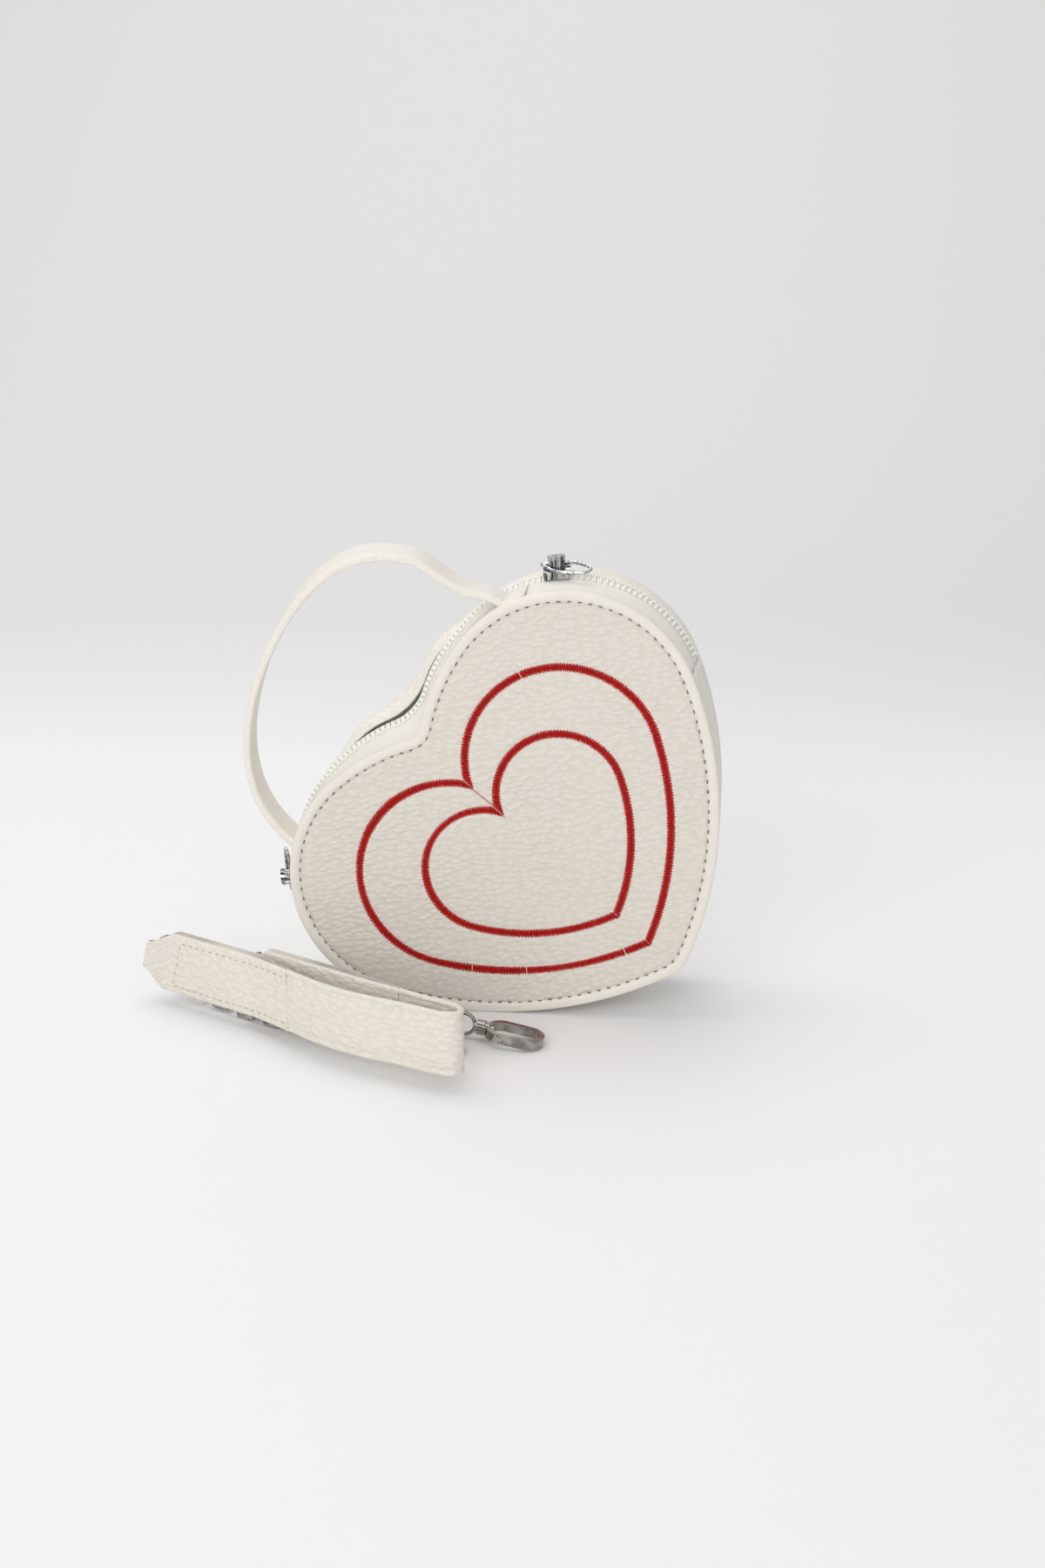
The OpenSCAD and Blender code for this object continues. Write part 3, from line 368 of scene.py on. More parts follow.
def pebbled_leather(name, face, crease_shade, grain, depth, rough, lie=0.0):
    """Polyurethane leather embossed with a pebble grain: small soft pillows, longer one way than the other."""
    made, tree, shader = finish(name, {"Roughness": rough, "IOR": 1.46})
    place = add(tree, "ShaderNodeTexCoord").outputs["Object"]
    lay = add(tree, "ShaderNodeAttribute", {"attribute_name": "lay"}).outputs["Vector"]
    laid = add(tree, "ShaderNodeMapping",
               {"vector_type": "TEXTURE", "Rotation": (0, 0, math.radians(lie)), "Scale": (1.8, 1.0, 1.0)},
               {"Vector": lay}).outputs["Vector"]
    drift = add(tree, "ShaderNodeTexNoise", {"Scale": 0.7 / grain, "Detail": 2.0}, {"Vector": laid})
    shift = add(tree, "ShaderNodeVectorMath", {"operation": "SCALE", "Scale": grain * 0.55},
                {0: drift.outputs["Color"]})
    moved = add(tree, "ShaderNodeVectorMath", {"operation": "ADD"}, {0: laid, 1: shift})
    cells = add(tree, "ShaderNodeTexVoronoi",
                {"voronoi_dimensions": "2D", "feature": "SMOOTH_F1", "Scale": 1 / grain, "Smoothness": 0.3,
                 "Randomness": 0.9},
                {"Vector": moved})
    pillow = add(tree, "ShaderNodeMapRange",
                 {"interpolation_type": "SMOOTHSTEP", "From Min": 0.66, "From Max": 0.12},
                 {"Value": cells})
    fine = add(tree, "ShaderNodeTexNoise", {"Scale": 2.6 / grain, "Detail": 3.0}, {"Vector": laid})
    height = add(tree, "ShaderNodeMath", {"operation": "MULTIPLY_ADD", 1: 0.25},
                 {0: fine, 2: pillow})
    tone = add(tree, "ShaderNodeTexNoise", {"Scale": 1 / (30 * MM), "Detail": 1.0}, {"Vector": place})
    drawn = add(tree, "ShaderNodeMapRange", {"From Min": 0.32, "From Max": 0.68, "To Min": 0.5, "To Max": 1.0},
                {"Value": tone})
    # The darker colour is painted shade in the creases between the pillows, where the relief is low
    dress(tree, shader, crease_shade, face, pillow, depth, {"Strength": drawn, "Height": height})
    return made


def smooth_leather(name, face, shade):
    """The same coated leather drawn tight over an edge, where the emboss is pressed nearly flat."""
    made, tree, shader = finish(name, {"Roughness": 0.42, "IOR": 1.46})
    place = add(tree, "ShaderNodeTexCoord").outputs["Object"]
    fine = add(tree, "ShaderNodeTexNoise", {"Scale": 1 / (0.9 * MM), "Detail": 3.0}, {"Vector": place})
    tone = add(tree, "ShaderNodeTexNoise", {"Scale": 1 / (12 * MM), "Detail": 3.0}, {"Vector": place})
    dress(tree, shader, face, shade, tone, 0.05, {"Height": fine}, 0.5)
    return made


def woven_cloth(name, face, shade, thread, rough):
    """Woven polyester: two sets of threads crossing, drawn along the strip's own length and width."""
    # Real threads lie about 0.35 mm apart, too fine to show, so the spacing given is a coarser one
    made, tree, shader = finish(name, {"Roughness": rough, "Sheen Weight": 0.25, "Sheen Roughness": 0.4})
    lay = add(tree, "ShaderNodeAttribute", {"attribute_name": "lay"}).outputs["Vector"]
    warp, weft = (
        add(tree, "ShaderNodeTexWave",
            {"wave_type": "BANDS", "bands_direction": way, "Scale": math.tau / 20 / thread},
            {"Vector": lay}) for way in ("X", "Y"))
    both = add(tree, "ShaderNodeMath", {"operation": "MULTIPLY"}, {0: warp, 1: weft})
    # The shade colour is painted shade in the low places between the threads
    dress(tree, shader, shade, face, both, 0.12, {"Height": both}, 0.7)
    return made


def spun_thread(name, face, shade, rough):
    """Twisted polyester thread: a painted shine along the strands and painted shade between them."""
    # A real ply is about 0.2 mm wide, too fine to show, so the strands are drawn at 0.6 mm
    made, tree, shader = finish(name, {"Roughness": rough, "Specular IOR Level": 0.2})
    place = add(tree, "ShaderNodeTexCoord").outputs["Object"]
    strands = add(tree, "ShaderNodeTexNoise", {"Scale": 1 / (0.6 * MM), "Detail": 2.0}, {"Vector": place})
    painted_light_share = add(tree, "ShaderNodeMapRange", {"From Min": 0.35, "From Max": 0.65},
                {"Value": strands})
    # The face colour is a painted shine on the strands and the shade colour is painted shade between them
    dress(tree, shader, shade, face, painted_light_share, 0.05, {"Height": strands}, 0.6)
    return made


def plated_metal(name, face, shade, rough, grain, stretch=1.0, turn=0.0):
    """Polished and plated zinc or steel: a mirror with patches of painted dark reflection and faint hairlines along
    its length.
    """
    # Real polishing lines are far finer than 0.3 mm, and are drawn this coarse to show
    made, tree, shader = finish(name, {"Metallic": 1.0, "Roughness": rough})
    place = add(tree, "ShaderNodeTexCoord").outputs["Object"]
    laid = add(tree, "ShaderNodeMapping",
               {"vector_type": "TEXTURE", "Rotation": (0, turn, 0), "Scale": (1, 1, stretch)},
               {"Vector": place}).outputs["Vector"]
    patch = add(tree, "ShaderNodeTexNoise", {"Scale": 1 / (grain * MM), "Detail": 3.0}, {"Vector": laid})
    painted_light_share = add(tree, "ShaderNodeMapRange", {"From Min": 0.4, "From Max": 0.6}, {"Value": patch})
    wear = add(tree, "ShaderNodeMapRange", {"To Min": rough * 0.6, "To Max": rough * 1.6},
               {"Value": patch})
    hair = add(tree, "ShaderNodeTexNoise", {"Scale": 1 / (0.3 * MM), "Detail": 3.0}, {"Vector": laid})
    dress(tree, shader, face, shade, painted_light_share, 0.02, {"Height": hair}, 0.1)
    tree.links.new(wear.outputs["Result"], shader.inputs["Roughness"])
    return made


def moulded_resin(name, face, shade, rough):
    """Moulded acetal teeth: slightly glossy, and a little uneven in tone where the resin flowed."""
    made, tree, shader = finish(name, {"Roughness": rough, "IOR": 1.48})
    place = add(tree, "ShaderNodeTexCoord").outputs["Object"]
    flow = add(tree, "ShaderNodeTexNoise", {"Scale": 1 / (1.5 * MM), "Detail": 2.0}, {"Vector": place})
    dress(tree, shader, face, shade, flow, 0.04, {"Height": flow}, 0.3)
    return made


# Each leather's second colour is painted shade in the creases of its grain
panel_leather = pebbled_leather("panel_leather_embossed", "#e1dad0", "#dad3c8", 2.2, 0.34, 0.5, 8 - LEAN)
strap_leather = pebbled_leather("strap_leather_embossed", "#e7e0d6", "#dfd8cd", 2.3, 0.4, 0.5)
handle_leather = pebbled_leather("handle_leather_embossed", "#eee9e0", "#e8e2d8", 1.4, 0.12, 0.47)
gusset_leather = pebbled_leather("gusset_leather_embossed", "#efebe4", "#e8e3d9", 1.7, 0.2, 0.5)
edge_leather = smooth_leather("edge_leather_turned", "#ede8df", "#e4ddd2")
tape_cloth = woven_cloth("zip_tape_woven", "#f7f4ec", "#e9e6dc", 0.6, 0.8)
lining_cloth = woven_cloth("lining_twill_woven", "#dccfba", "#c4b59d", 0.5, 0.7)
heart_thread = spun_thread("heart_thread_satin", "#c8110c", "#970a07", 0.55)
# The seam's stitches are drawn dark brown-grey as painted shade of the needle holes and the groove; the real thread
# is paler
seam_thread = spun_thread("seam_thread_twisted_painted_shade", "#5f5749", "#3f392f", 0.7)
bar_thread = spun_thread("bar_thread_twisted", "#f3f2ec", "#dcdad0", 0.7)
strap_thread = spun_thread("strap_thread_twisted", "#c4baa9", "#9d9280", 0.7)
tooth_resin = moulded_resin("tooth_acetal_moulded", "#f7f7f4", "#eeeeea", 0.35)
# The sliders' near-black second colour is painted dark reflection, drawn as streaks along the barrel
slider_chrome_right = plated_metal("slider_zinc_chromed_right", "#d6d7d8", "#3a3a3c", 0.12, 0.8, 14)
slider_chrome_left = plated_metal("slider_zinc_chromed_left", "#d6d7d8", "#3a3a3c", 0.12, 0.8, 14, 1.6)
wire_chrome = plated_metal("wire_steel_chromed", "#dadbdc", "#8b8c8f", 0.1, 1.6)
gunmetal = plated_metal("hook_zinc_gunmetal", "#c0bdba", "#8f8c89", 0.15, 5)
board_fibre = smooth_leather("board_fibre_pressed", "#b9a88e", "#a8967b")


# Meshes

def place_piece(obj, body, replaces=()):
    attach(obj, body)
    if replaces:
        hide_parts(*replaces)
    return obj


def shown(name, data):
    """A new object in the scene."""
    obj = bpy.data.objects.new(name, data)
    bpy.context.scene.collection.objects.link(obj)
    return obj


def make(name, points, faces, material, lay=None, flat=False):
    """A mesh object from points in millimetres; lay keeps each point's place along and across the piece."""
    mesh = bpy.data.meshes.new(name)
    mesh.from_pydata((np.asarray(points).reshape(-1, 3) * MM).tolist(), [], [list(map(int, f)) for f in faces])
    mesh.update()
    if not flat:
        mesh.polygons.foreach_set("use_smooth", [True] * len(mesh.polygons))
    if lay is not None:
        spot = np.zeros((len(mesh.vertices), 3), np.float32)
        spot[:, :2] = np.asarray(lay, float).reshape(-1, 2)
        attribute = mesh.attributes.new("lay", "FLOAT_VECTOR", "POINT")
        attribute.data.foreach_set("vector", spot.ravel())
    mesh.materials.append(material)
    return shown(name, mesh)


def loft(rings, closed=False):
    """Points, faces and lay of a skin over rings of points; closed joins the last ring to the first."""
    rings = np.asarray(rings, float)
    n, k = rings.shape[:2]
    rows = n if closed else n - 1
    faces = [(i * k + j, i * k + (j + 1) % k, (i + 1) % n * k + (j + 1) % k, (i + 1) % n * k + j)
             for i in range(rows) for j in range(k)]
    if not closed:
        faces.append(list(range(k - 1, -1, -1)))
        faces.append([(n - 1) * k + j for j in range(k)])
    middle = rings.mean(1)
    u = np.repeat(along(middle)[:, None], k, 1)
    round_ring = np.concatenate(
        [np.zeros((n, 1)), np.cumsum(np.linalg.norm(np.diff(rings, axis=1), axis=2), 1)], 1)
    return rings.reshape(-1, 3), faces, np.stack([u, round_ring], -1)


def joined(parts):
    """Joins (points, faces) parts into one."""
    points, faces, count = [], [], 0
    for p, f in parts:
        p = np.asarray(p).reshape(-1, 3)
        points.append(p)
        faces.extend([[i + count for i in face] for face in f])
        count += len(p)
    return np.vstack(points), faces


def outward(obj):
    """Turns all faces of a closed mesh outwards."""
    work = bmesh.new()
    work.from_mesh(obj.data)
    bmesh.ops.recalc_face_normals(work, faces=work.faces)
    work.to_mesh(obj.data)
    work.free()
    return obj


def skin(name, rings, material, closed=False, stir=None):
    """A closed skin over rings of points; stir gives a small uneven shift of each point."""
    points, faces, lay = loft(rings, closed)
    if stir:
        points = points + stir(points)
    return outward(make(name, points, faces, material, lay))


def stirred(size, wavelength, seed, share):
    """An uneven shift with a share along each world axis."""
    return lambda points: size * ripple(points, wavelength, seed)[:, None] * share


def stirred_out(low, size, wavelength, seed):
    """An uneven shift away from a point of the heart's axis, at a height of its own plane."""
    def shift(points):
        away = unit((points - stand(0, 0, low)) * [1, 0, 1])
        return away * (size * ripple(points, wavelength, seed))[:, None]
    return shift


def swept(name, section, path_of, material):
    """A skin swept round the heart: section lists depth and growth, path_of gives the path of a growth."""
    paths = [(y, path_of(g)) for y, g in section]
    return skin(name, np.stack([at_depth(p, y) for y, p in paths], 1), material, True)


# Pitch, length, width and height of the stitches
PANEL_STITCH = (4.3, 1.8, 0.4, 0.2)
STRAP_STITCH = (3.6, 2.6, 0.42, 0.24)
BAR_STITCH = (1.9, 2.3, 1.5, 0.8)


def stitched(name, line, up_of, stitch, material, closed=False):
    """A row of stitches along world points: each rises from the leather, crosses it and dives in."""
    pitch, length, width, height = stitch
    if closed:
        line = np.vstack([line, line[:1]])
    total = along(line)[-1]
    count = int(total // pitch)
    marks = (np.arange(count) + 0.5) * total / count
    places, ways = sampled(line, marks)
    ups = up_of(places)
    ring = [(-1, -0.35), (-0.62, 0.55), (0, 1), (0.62, 0.55), (1, -0.35)]
    parts = []
    for p, w, u, s in zip(places, ways, ups, np.cross(ways, ups)):
        rings = [[p + w * x * length / 2 + s * a * width / 2 * math.sqrt(max(0.12, 1 - x ** 4))
                  + u * height * (b * math.sqrt(max(0.05, 1 - x ** 4)) - 0.9 * x ** 4)
                  for a, b in ring] for x in np.linspace(-1, 1, 6)]
        parts.append(loft(rings)[:2])
    return make(name, *joined(parts), material)


# Panels

heart_groove = outline(-BAND_W, CLEFT_R + BAND_W)


def heart_half(r, x, z, fr, point_z):
    """Right half of a stitched heart, from its cleft over the lobe to its point."""
    n = 60
    c = meet(np.array([x, z]), fr - r, np.array([0.0, point_z]), fr)
    a0 = heading((-x, math.sqrt(r * r - x * x)))
    a1 = heading(np.array([x, z]) - c)
    a2 = heading(np.array([0, point_z]) - c)
    lobe = np.array([x, z]) + polar(r, a0 + (a1 - a0) * np.arange(n) / n)
    flank = c + polar(fr, a1 + (a2 - a1) * np.arange(n // 2 + 1) / (n // 2))
    return np.vstack([lobe, flank])


def grid_inside(loop, step, seed):
    """Points inside a loop on a slightly uneven grid, a little clear of the loop."""
    draw = np.random.default_rng(seed)
    low, high = loop.min(0), loop.max(0)
    xs, ys = np.meshgrid(np.arange(low[0], high[0], step), np.arange(low[1], high[1], step * 0.87))
    xs = xs + (np.arange(len(ys)) % 2)[:, None] * step / 2
    points = np.stack([xs.ravel(), ys.ravel()], -1)
    points += draw.uniform(-0.08, 0.08, points.shape) * step
    points = points[inside(points, loop)]
    return points[distance_to(points, loop) > step * 0.45]


def plate(name, loop, step, height, y_face, way, thick, material, seed):
    """A sheet that fills a loop: height gives how far its face stands proud; way is -1 to face the front."""
    inner = grid_inside(loop, step, seed)
    flat = np.vstack([loop, inner])
    edges = [(i, (i + 1) % len(loop)) for i in range(len(loop))]
    verts, _, tris = delaunay_2d_cdt([Vector(p) for p in flat.tolist()], edges, [], 1, 1e-6)[:3]
    flat = np.array([tuple(v) for v in verts])
    face = at_depth(flat, y_face + way * height(flat))
    back = at_depth(flat, y_face - way * thick)
    n = len(flat)
    faces = [list(t) for t in tris] + [[i + n for i in reversed(t)] for t in tris]
    sides = dict.fromkeys((t[i], t[(i + 1) % 3]) for t in tris for i in range(3))
    faces += [[b, a, a + n, b + n] for a, b in sides if (b, a) not in sides]
    return outward(make(name, np.vstack([face, back]), faces, material, np.vstack([flat, flat])))


def panel_face(flat, seed, hearts):
    """How far the panel stands proud: a soft crown, a groove at its seam and a pull under the stitching."""
    edge = distance_to(flat, heart_groove)
    up = PANEL_CROWN * smooth(edge / 26) - 0.4 * (1 - smooth(edge / 1.6))
    up = up + 0.13 * ripple(flat, 46, seed) * smooth(edge / 8)
    for shape in hearts:
        half = heart_half(*shape)
        gap = distance_to(flat - HEART_AT, np.vstack([half, flipped(half)]), False)
        up = up - 0.32 * (1 - smooth((gap - 0.8) / 2.2)) + 0.08 * np.exp(-((gap - 4) / 1.6) ** 2)
    return up


# Depth and growth of the turned band's section, from the stitch groove over the edge to the zip
def band_section(way):
    shape = [
        (PANEL_T, -BAND_W - 0.25), (0.35, -BAND_W - 0.25), (0.3, -BAND_W + 0.1), (-0.28, -BAND_W + 0.55),
        (-BAND_RISE * 0.93, -BAND_W + 1.2), (-BAND_RISE, -BAND_W * 0.5), (-BAND_RISE * 0.9, -1.0),
        (-BAND_RISE * 0.62, -0.42), (-0.1, -0.06), (0.45, 0.08), (1.6, 0.02), (BAND_D - 1.5, 0.0),
        (BAND_D - 0.6, -0.12), (BAND_D - 0.12, -0.5), (BAND_D, -GUSSET_T), (BAND_D - 1.1, -GUSSET_T)]
    return [(way * (DEPTH / 2 - y), g) for y, g in shape]


def band_path(g):
    return outline(g, CLEFT_R - g)


def all_to(way):
    """Stitches that all rise the same way."""
    return lambda places: np.tile(way, (len(places), 1))


def panel_seam(name, way):
    """The stitch line sunk in a panel's groove; way is -1 for the front."""
    groove = at_depth(heart_groove, way * (DEPTH / 2 - GROOVE_DEPTH))
    return stitched(name, groove, all_to([0.0, way, 0.0]), PANEL_STITCH, seam_thread, True)


place_piece(plate("panel_front", heart_groove, 1.5, lambda p: panel_face(p, FRONT_SEED, HEARTS),
                  FRONT_Y, -1, PANEL_T, panel_leather, 11),
            "front_half", ["front_panel"])
place_piece(swept("band_front", band_section(-1), band_path, edge_leather),
            "front_half", ["front_band"])
place_piece(panel_seam("seam_front", -1), "front_half")


# Satin stitching

def satin(name, shape, seed, replaces):
    """Zigzag stitches side by side across the heart's line, ragged at both edges and mitred at the corners."""
    draw = np.random.default_rng(seed)
    line = run_on(heart_half(*shape), SATIN_W * 1.5)
    places, ways = sampled(line, np.arange(STITCH_PITCH / 2, along(line)[-1], STITCH_PITCH))
    base = panel_face(places + HEART_AT, FRONT_SEED, HEARTS)
    x = np.array([-1.0, -0.86, -0.5, 0.0, 0.5, 0.86, 1.0])[:, None]
    rise = np.array([-0.3, 0.3, 0.62, 0.75, 0.62, 0.3, -0.3])[:, None] * SATIN_H
    beside, above = np.array([(-1, -0.16), (-0.6, 0.02), (0, 0.1), (0.6, 0.02), (1, -0.16)]).T
    parts = []
    for side in (1, -1):
        for i, (p, w, rest) in enumerate(zip(places, ways, base)):
            across = left_of(w)
            near, far = [-1, 1] * (SATIN_W / 2 * (1 + draw.uniform(-0.12, 0.04, 2)) + (0.42 if i % 3 == 0 else 0))
            meeting = (0.04 - p[0]) / across[0]
            near, far = (max(near, meeting), far) if across[0] > 0 else (near, min(far, meeting))
            if far - near < 0.4 or draw.random() < 0.003:
                continue
            slant = (0.3 if i % 2 else -0.3) * STITCH_PITCH
            thick = STITCH_PITCH * draw.uniform(0.5, 0.62)
            middle = p + across * np.interp(x, [-1, 1], [near, far]) + w * slant * x
            q = middle[:, None] + w * beside[:, None] * thick
            rings = stand(side * q[..., 0] + HEART_AT[0], FRONT_Y - rest - rise - above, q[..., 1] + HEART_AT[1])
            parts.append(loft(rings)[:2])
    place_piece(outward(make(name, *joined(parts), heart_thread)), "front_half", replaces)


satin("satin_outer", OUTER_HEART, 5, ["embroidery_outer"])
satin("satin_inner", INNER_HEART, 6, ["embroidery_inner"])

cleft_tops = [z + math.sqrt(r * r - x * x) for r, x, z, _, _ in HEARTS]
jump_line = stand(HEART_AT[0] + np.linspace(-0.3, 0.5, 9),
                  FRONT_Y - 0.6 - 0.25 * np.sin(np.linspace(0, math.pi, 9)),
                  HEART_AT[1] + np.linspace(cleft_tops[0] - 0.6, cleft_tops[1] + 0.8, 9))


def wire(line, ways, first, radius, sides):
    """Rings of a round thread or wire along world points; first is a way across it at each point."""
    turns = (np.arange(sides) * math.tau / sides)[None, :, None]
    second = np.cross(ways, first)[:, None]
    first = np.broadcast_to(first, line.shape)[:, None]
    return line[:, None] + radius * (np.cos(turns) * first + np.sin(turns) * second)


jump_ways = unit(np.gradient(jump_line, axis=0))
jump_rings = wire(jump_line, jump_ways, unit(np.cross(jump_ways, [0.13, 0.31, 0.94])), JUMP_R, 8)
place_piece(skin("jump_thread", jump_rings, heart_thread), "front_half")


# Zip

def tape(name, edge, way, body, replaces):
    """A woven tape from its band to the chain, a little hollow between them, with a thick selvedge."""
    y0, y1 = FRONT_Y + BAND_D - 0.3, -TAPE_IN - 0.15
    rows = []
    for share in np.linspace(0, 1, 9):
        hollow = 0.35 * math.sin(math.pi * share)
        thick = TAPE_T * (1.25 if share > 0.93 else 0.85)
        a = upper_path(edge, 0, CLEFT_R + GUSSET_T)
        b = upper_path(CHAIN_G, TAPE_CROWN, ZIP_CLEFT_R, CHAIN_G)
        if way < 0:
            # The front tape runs on under the end tabs
            a, b = run_on(a, TAPE_OVER), run_on(b, TAPE_OVER)
        normal = unit(left_of(np.gradient(a, axis=0)))
        p = a * (1 - smooth(share)) + b * smooth(share) - normal * hollow
        rows.append((y0 + share * (y1 - y0), p, normal, thick))
    # The chain stands on a cord woven into the tape's edge
    for y, rise in ((y1 + 0.5, 0.9), (-1.0, 1.15), (-0.3, 0.8), (-0.15, 0)):
        rows.append((y, p + normal * rise, normal, thick + rise))
    top = [at_depth(p, -way * y) for y, p, _, _ in rows]
    low = [at_depth(p - normal * thick, -way * y) for y, p, normal, thick in reversed(rows)]
    place_piece(skin(name, np.stack(top + low, 1), tape_cloth), body, replaces)


tape("tape_front", -GUSSET_T / 2, -1, "front_half", ["front_tape"])
tape("tape_back", -STRIP_T - LAYER_GAP * 4, 1, "back_half", ["back_tape"])

chain_path = upper_path(CHAIN_G + LAYER_GAP / 2, TAPE_CROWN, ZIP_CLEFT_R, CHAIN_G, n=16)
chain_length = along(chain_path)[-1]
tooth_count = int((chain_length - TOOTH_PITCH) // TOOTH_PITCH)
chain_start = (chain_length - (tooth_count - 0.5) * TOOTH_PITCH) / 2
fold_y = DEPTH / 2 + BAND_RISE + LAYER_GAP
tooth_gap = TOOTH_PITCH / 2 - TOOTH_W


def tooth_shape(length):
    """One tooth: a foot clamped on the tape, a slim neck and a rounded head."""
    profile = [(0.0, 0.46, 0.62), (0.15, 0.5, 0.8), (0.5, 0.5, 0.95), (0.72, 0.44, 0.95),
               (0.86, 0.5, 1.0), (0.97, 0.42, 0.9), (1.0, 0.26, 0.66)]
    rings = []
    for share, half, high in profile:
        w, h = half * TOOTH_W, high * TOOTH_H
        corner = 0.22
        rings.append([(x, share * length, z) for x, z in (
            (-w, 0.02), (-w, h - corner), (-w + corner, h), (w - corner, h), (w, h - corner), (w, 0.02))])
    return loft(rings)[:2]


def teeth(name, way, body, replaces):
    """One row of teeth along the chain's path, meshing less where the halves lift past each other."""
    parts = []
    for i in range(tooth_count):
        d = chain_start + (i + (0 if way > 0 else 0.5)) * TOOTH_PITCH
        (a, p, b), _ = sampled(chain_path, d + np.array([-TOOTH_W, 0, TOOTH_W]))
        run = unit(b - a)
        climb = max(0.05, abs(run[1]))
        mesh = min(TOOTH_MESH, LIFT_SHARE * tooth_gap * max(0, p[1] - fold_t) / (fold_y * climb))
        points, faces = tooth_shape(TOOTH_Y - LAYER_GAP / 2 + mesh / 2)
        across, depth, out = points.T
        flat = p + across[:, None] * run + out[:, None] * left_of(run)
        parts.append((at_depth(flat, -way * (TOOTH_Y - depth)), faces))
    obj = place_piece(outward(make(name, *joined(parts), tooth_resin, flat=True)), body, replaces)
    bevel = obj.modifiers.new("soft_edges", "BEVEL")
    bevel.width = 0.12 * MM
    bevel.segments = 2


teeth("teeth_front", 1, "front_half", ["front_teeth"])
teeth("teeth_back", -1, "back_half", ["back_teeth"])


# Gusset, back strip and the zip's end tabs

y_in = FRONT_Y + BAND_D - 0.2
shares = np.linspace(0, 1, 15)
# The gusset swells a little between its seams
growth = -GUSSET_SINK + 0.55 * np.sin(np.pi * shares) ** 0.7
outer, inner = ([at_depth(lower_path(g - thick), y_in + share * (-2 * y_in)) for share, g in zip(shares, growth)]
                for thick in (0, GUSSET_T))
place_piece(
    skin("gusset_lower", np.stack(outer + inner[::-1], 1), gusset_leather, stir=stirred_out(-30, 0.16, 21, 21)),
    "front_half", ["lower_gusset"])

STRIP_Y0 = SLIDER_W / 2 + LAYER_GAP * 2
STRIP_Y1 = DEPTH / 2 - BAND_D - LAYER_GAP
STRIP_SHARES = np.array([
    [0, 0.8, 0.6, 0.3], [0.22, 1, 0.95, 0.9], [0.5, 0.9, 1, 1], [0.8, 0.4, 0.5, 0.5], [1, 0, 0, -0.6]])


def strip_piece():
    """The leather strip between the zip and the back band, swollen over the crowns and the cleft."""
    low = -STRIP_T / 4
    sides = ([], [])
    for share in shares:
        _, rise, swell, fillet = [np.interp(share, STRIP_SHARES[:, 0], STRIP_SHARES[:, k]) for k in range(4)]
        rf = max(CLEFT_R + GUSSET_T, ZIP_CLEFT_R + (STRIP_CLEFT_R - ZIP_CLEFT_R) * fillet)
        lip = 0.5 * (1 - smooth(share / 0.12))
        for k, g in enumerate((low + rise * (STRIP_SWELL - low) - lip,
                               low + rise * (STRIP_SWELL - low) - STRIP_T + lip * 0.4)):
            path = run_on(
                upper_path(g, CROWN_SWELL * swell, rf, rise * (STRIP_SWELL - low) * SETTLED_SHARE), STRIP_OVER)
            sides[k].append(at_depth(path, STRIP_Y0 + share * (STRIP_Y1 + 0.3 - STRIP_Y0)))
    return skin("strip_back", np.stack(sides[0] + sides[1][::-1], 1), gusset_leather,
                stir=stirred_out(-10, 0.18, 17, 23))


place_piece(strip_piece(), "back_half", ["back_strip"])


def tab(name, side, replaces):
    """A cloth tab folded over the zip's end, with rounded edges and a stitched cross seam."""
    a = flank_a0 - math.degrees(TAB_L / 2 / FLANK_R)
    rings = []
    for x in np.linspace(-TAB_L / 2, TAB_L / 2, 9):
        end = 1 - abs(2 * x / TAB_L) ** 6
        ring = []
        for angle in np.linspace(0, math.tau, 24, endpoint=False):
            c, s = math.cos(angle), math.sin(angle)
            y = math.copysign(abs(c) ** 0.35, c) * TAB_W / 2
            h = (0.5 + 0.5 * math.copysign(abs(s) ** 0.5, s)) * TAB_T * (0.55 + 0.45 * end)
            flat = flank_c + polar(FLANK_R - GUSSET_SINK + LAYER_GAP / 2 + h, a + math.degrees(x / FLANK_R))
            ring.append(stand(side * flat[0], y, flat[1]))
        rings.append(ring)
    place_piece(skin(name, rings, tape_cloth), "front_half", replaces)


def bar_tack(name, side):
    """Thick white stitches that hold a tab's upper edge down across the zip's end."""
    face = FLANK_R - GUSSET_SINK + LAYER_GAP / 2 + TAB_T + 0.35
    at = flank_c + polar(face, flank_a0 - math.degrees(0.5 / FLANK_R))
    y = np.linspace(-TAB_W / 2 + 0.4, TAB_W / 2 - 0.4, 12)
    line = stand(side * at[0], y, at[1])
    out = unit(stand(side * at[0], 0, at[1]) - stand(side * flank_c[0], 0, flank_c[1]))
    place_piece(stitched(name, line, all_to(out), BAR_STITCH, bar_thread), "front_half")


HANDS = ((1, "right"), (-1, "left"))
for side, hand in HANDS:
    tab(f"tab_{hand}", side, [f"zip_tab_{hand}"])
for side, hand in HANDS:
    bar_tack(f"bar_tack_{hand}", side)


# Back panel, with its band, seam and lining, baked in place

FOLD_HALF = 4
fold_low = Vector(stand(0, DEPTH / 2, fold_t - FOLD_HALF) * MM)
fold_high = Vector(stand(0, DEPTH / 2, fold_t + FOLD_HALF) * MM)


def across_fold(obj, replaces=()):
    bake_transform(obj)
    if replaces:
        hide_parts(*replaces)


across_fold(plate("panel_back", heart_groove, 2.2, lambda p: panel_face(p, BACK_SEED, ()),
                  DEPTH / 2, 1, PANEL_T, panel_leather, 12),
            ["upper_back_panel", "lower_back_panel"])
across_fold(swept("band_back", band_section(1), band_path, edge_leather),
            ["upper_back_band", "lower_back_band"])
across_fold(panel_seam("seam_back", 1))

board_loop = outline(-BAND_W - LAYER_GAP, CLEFT_R + BAND_W + LAYER_GAP)


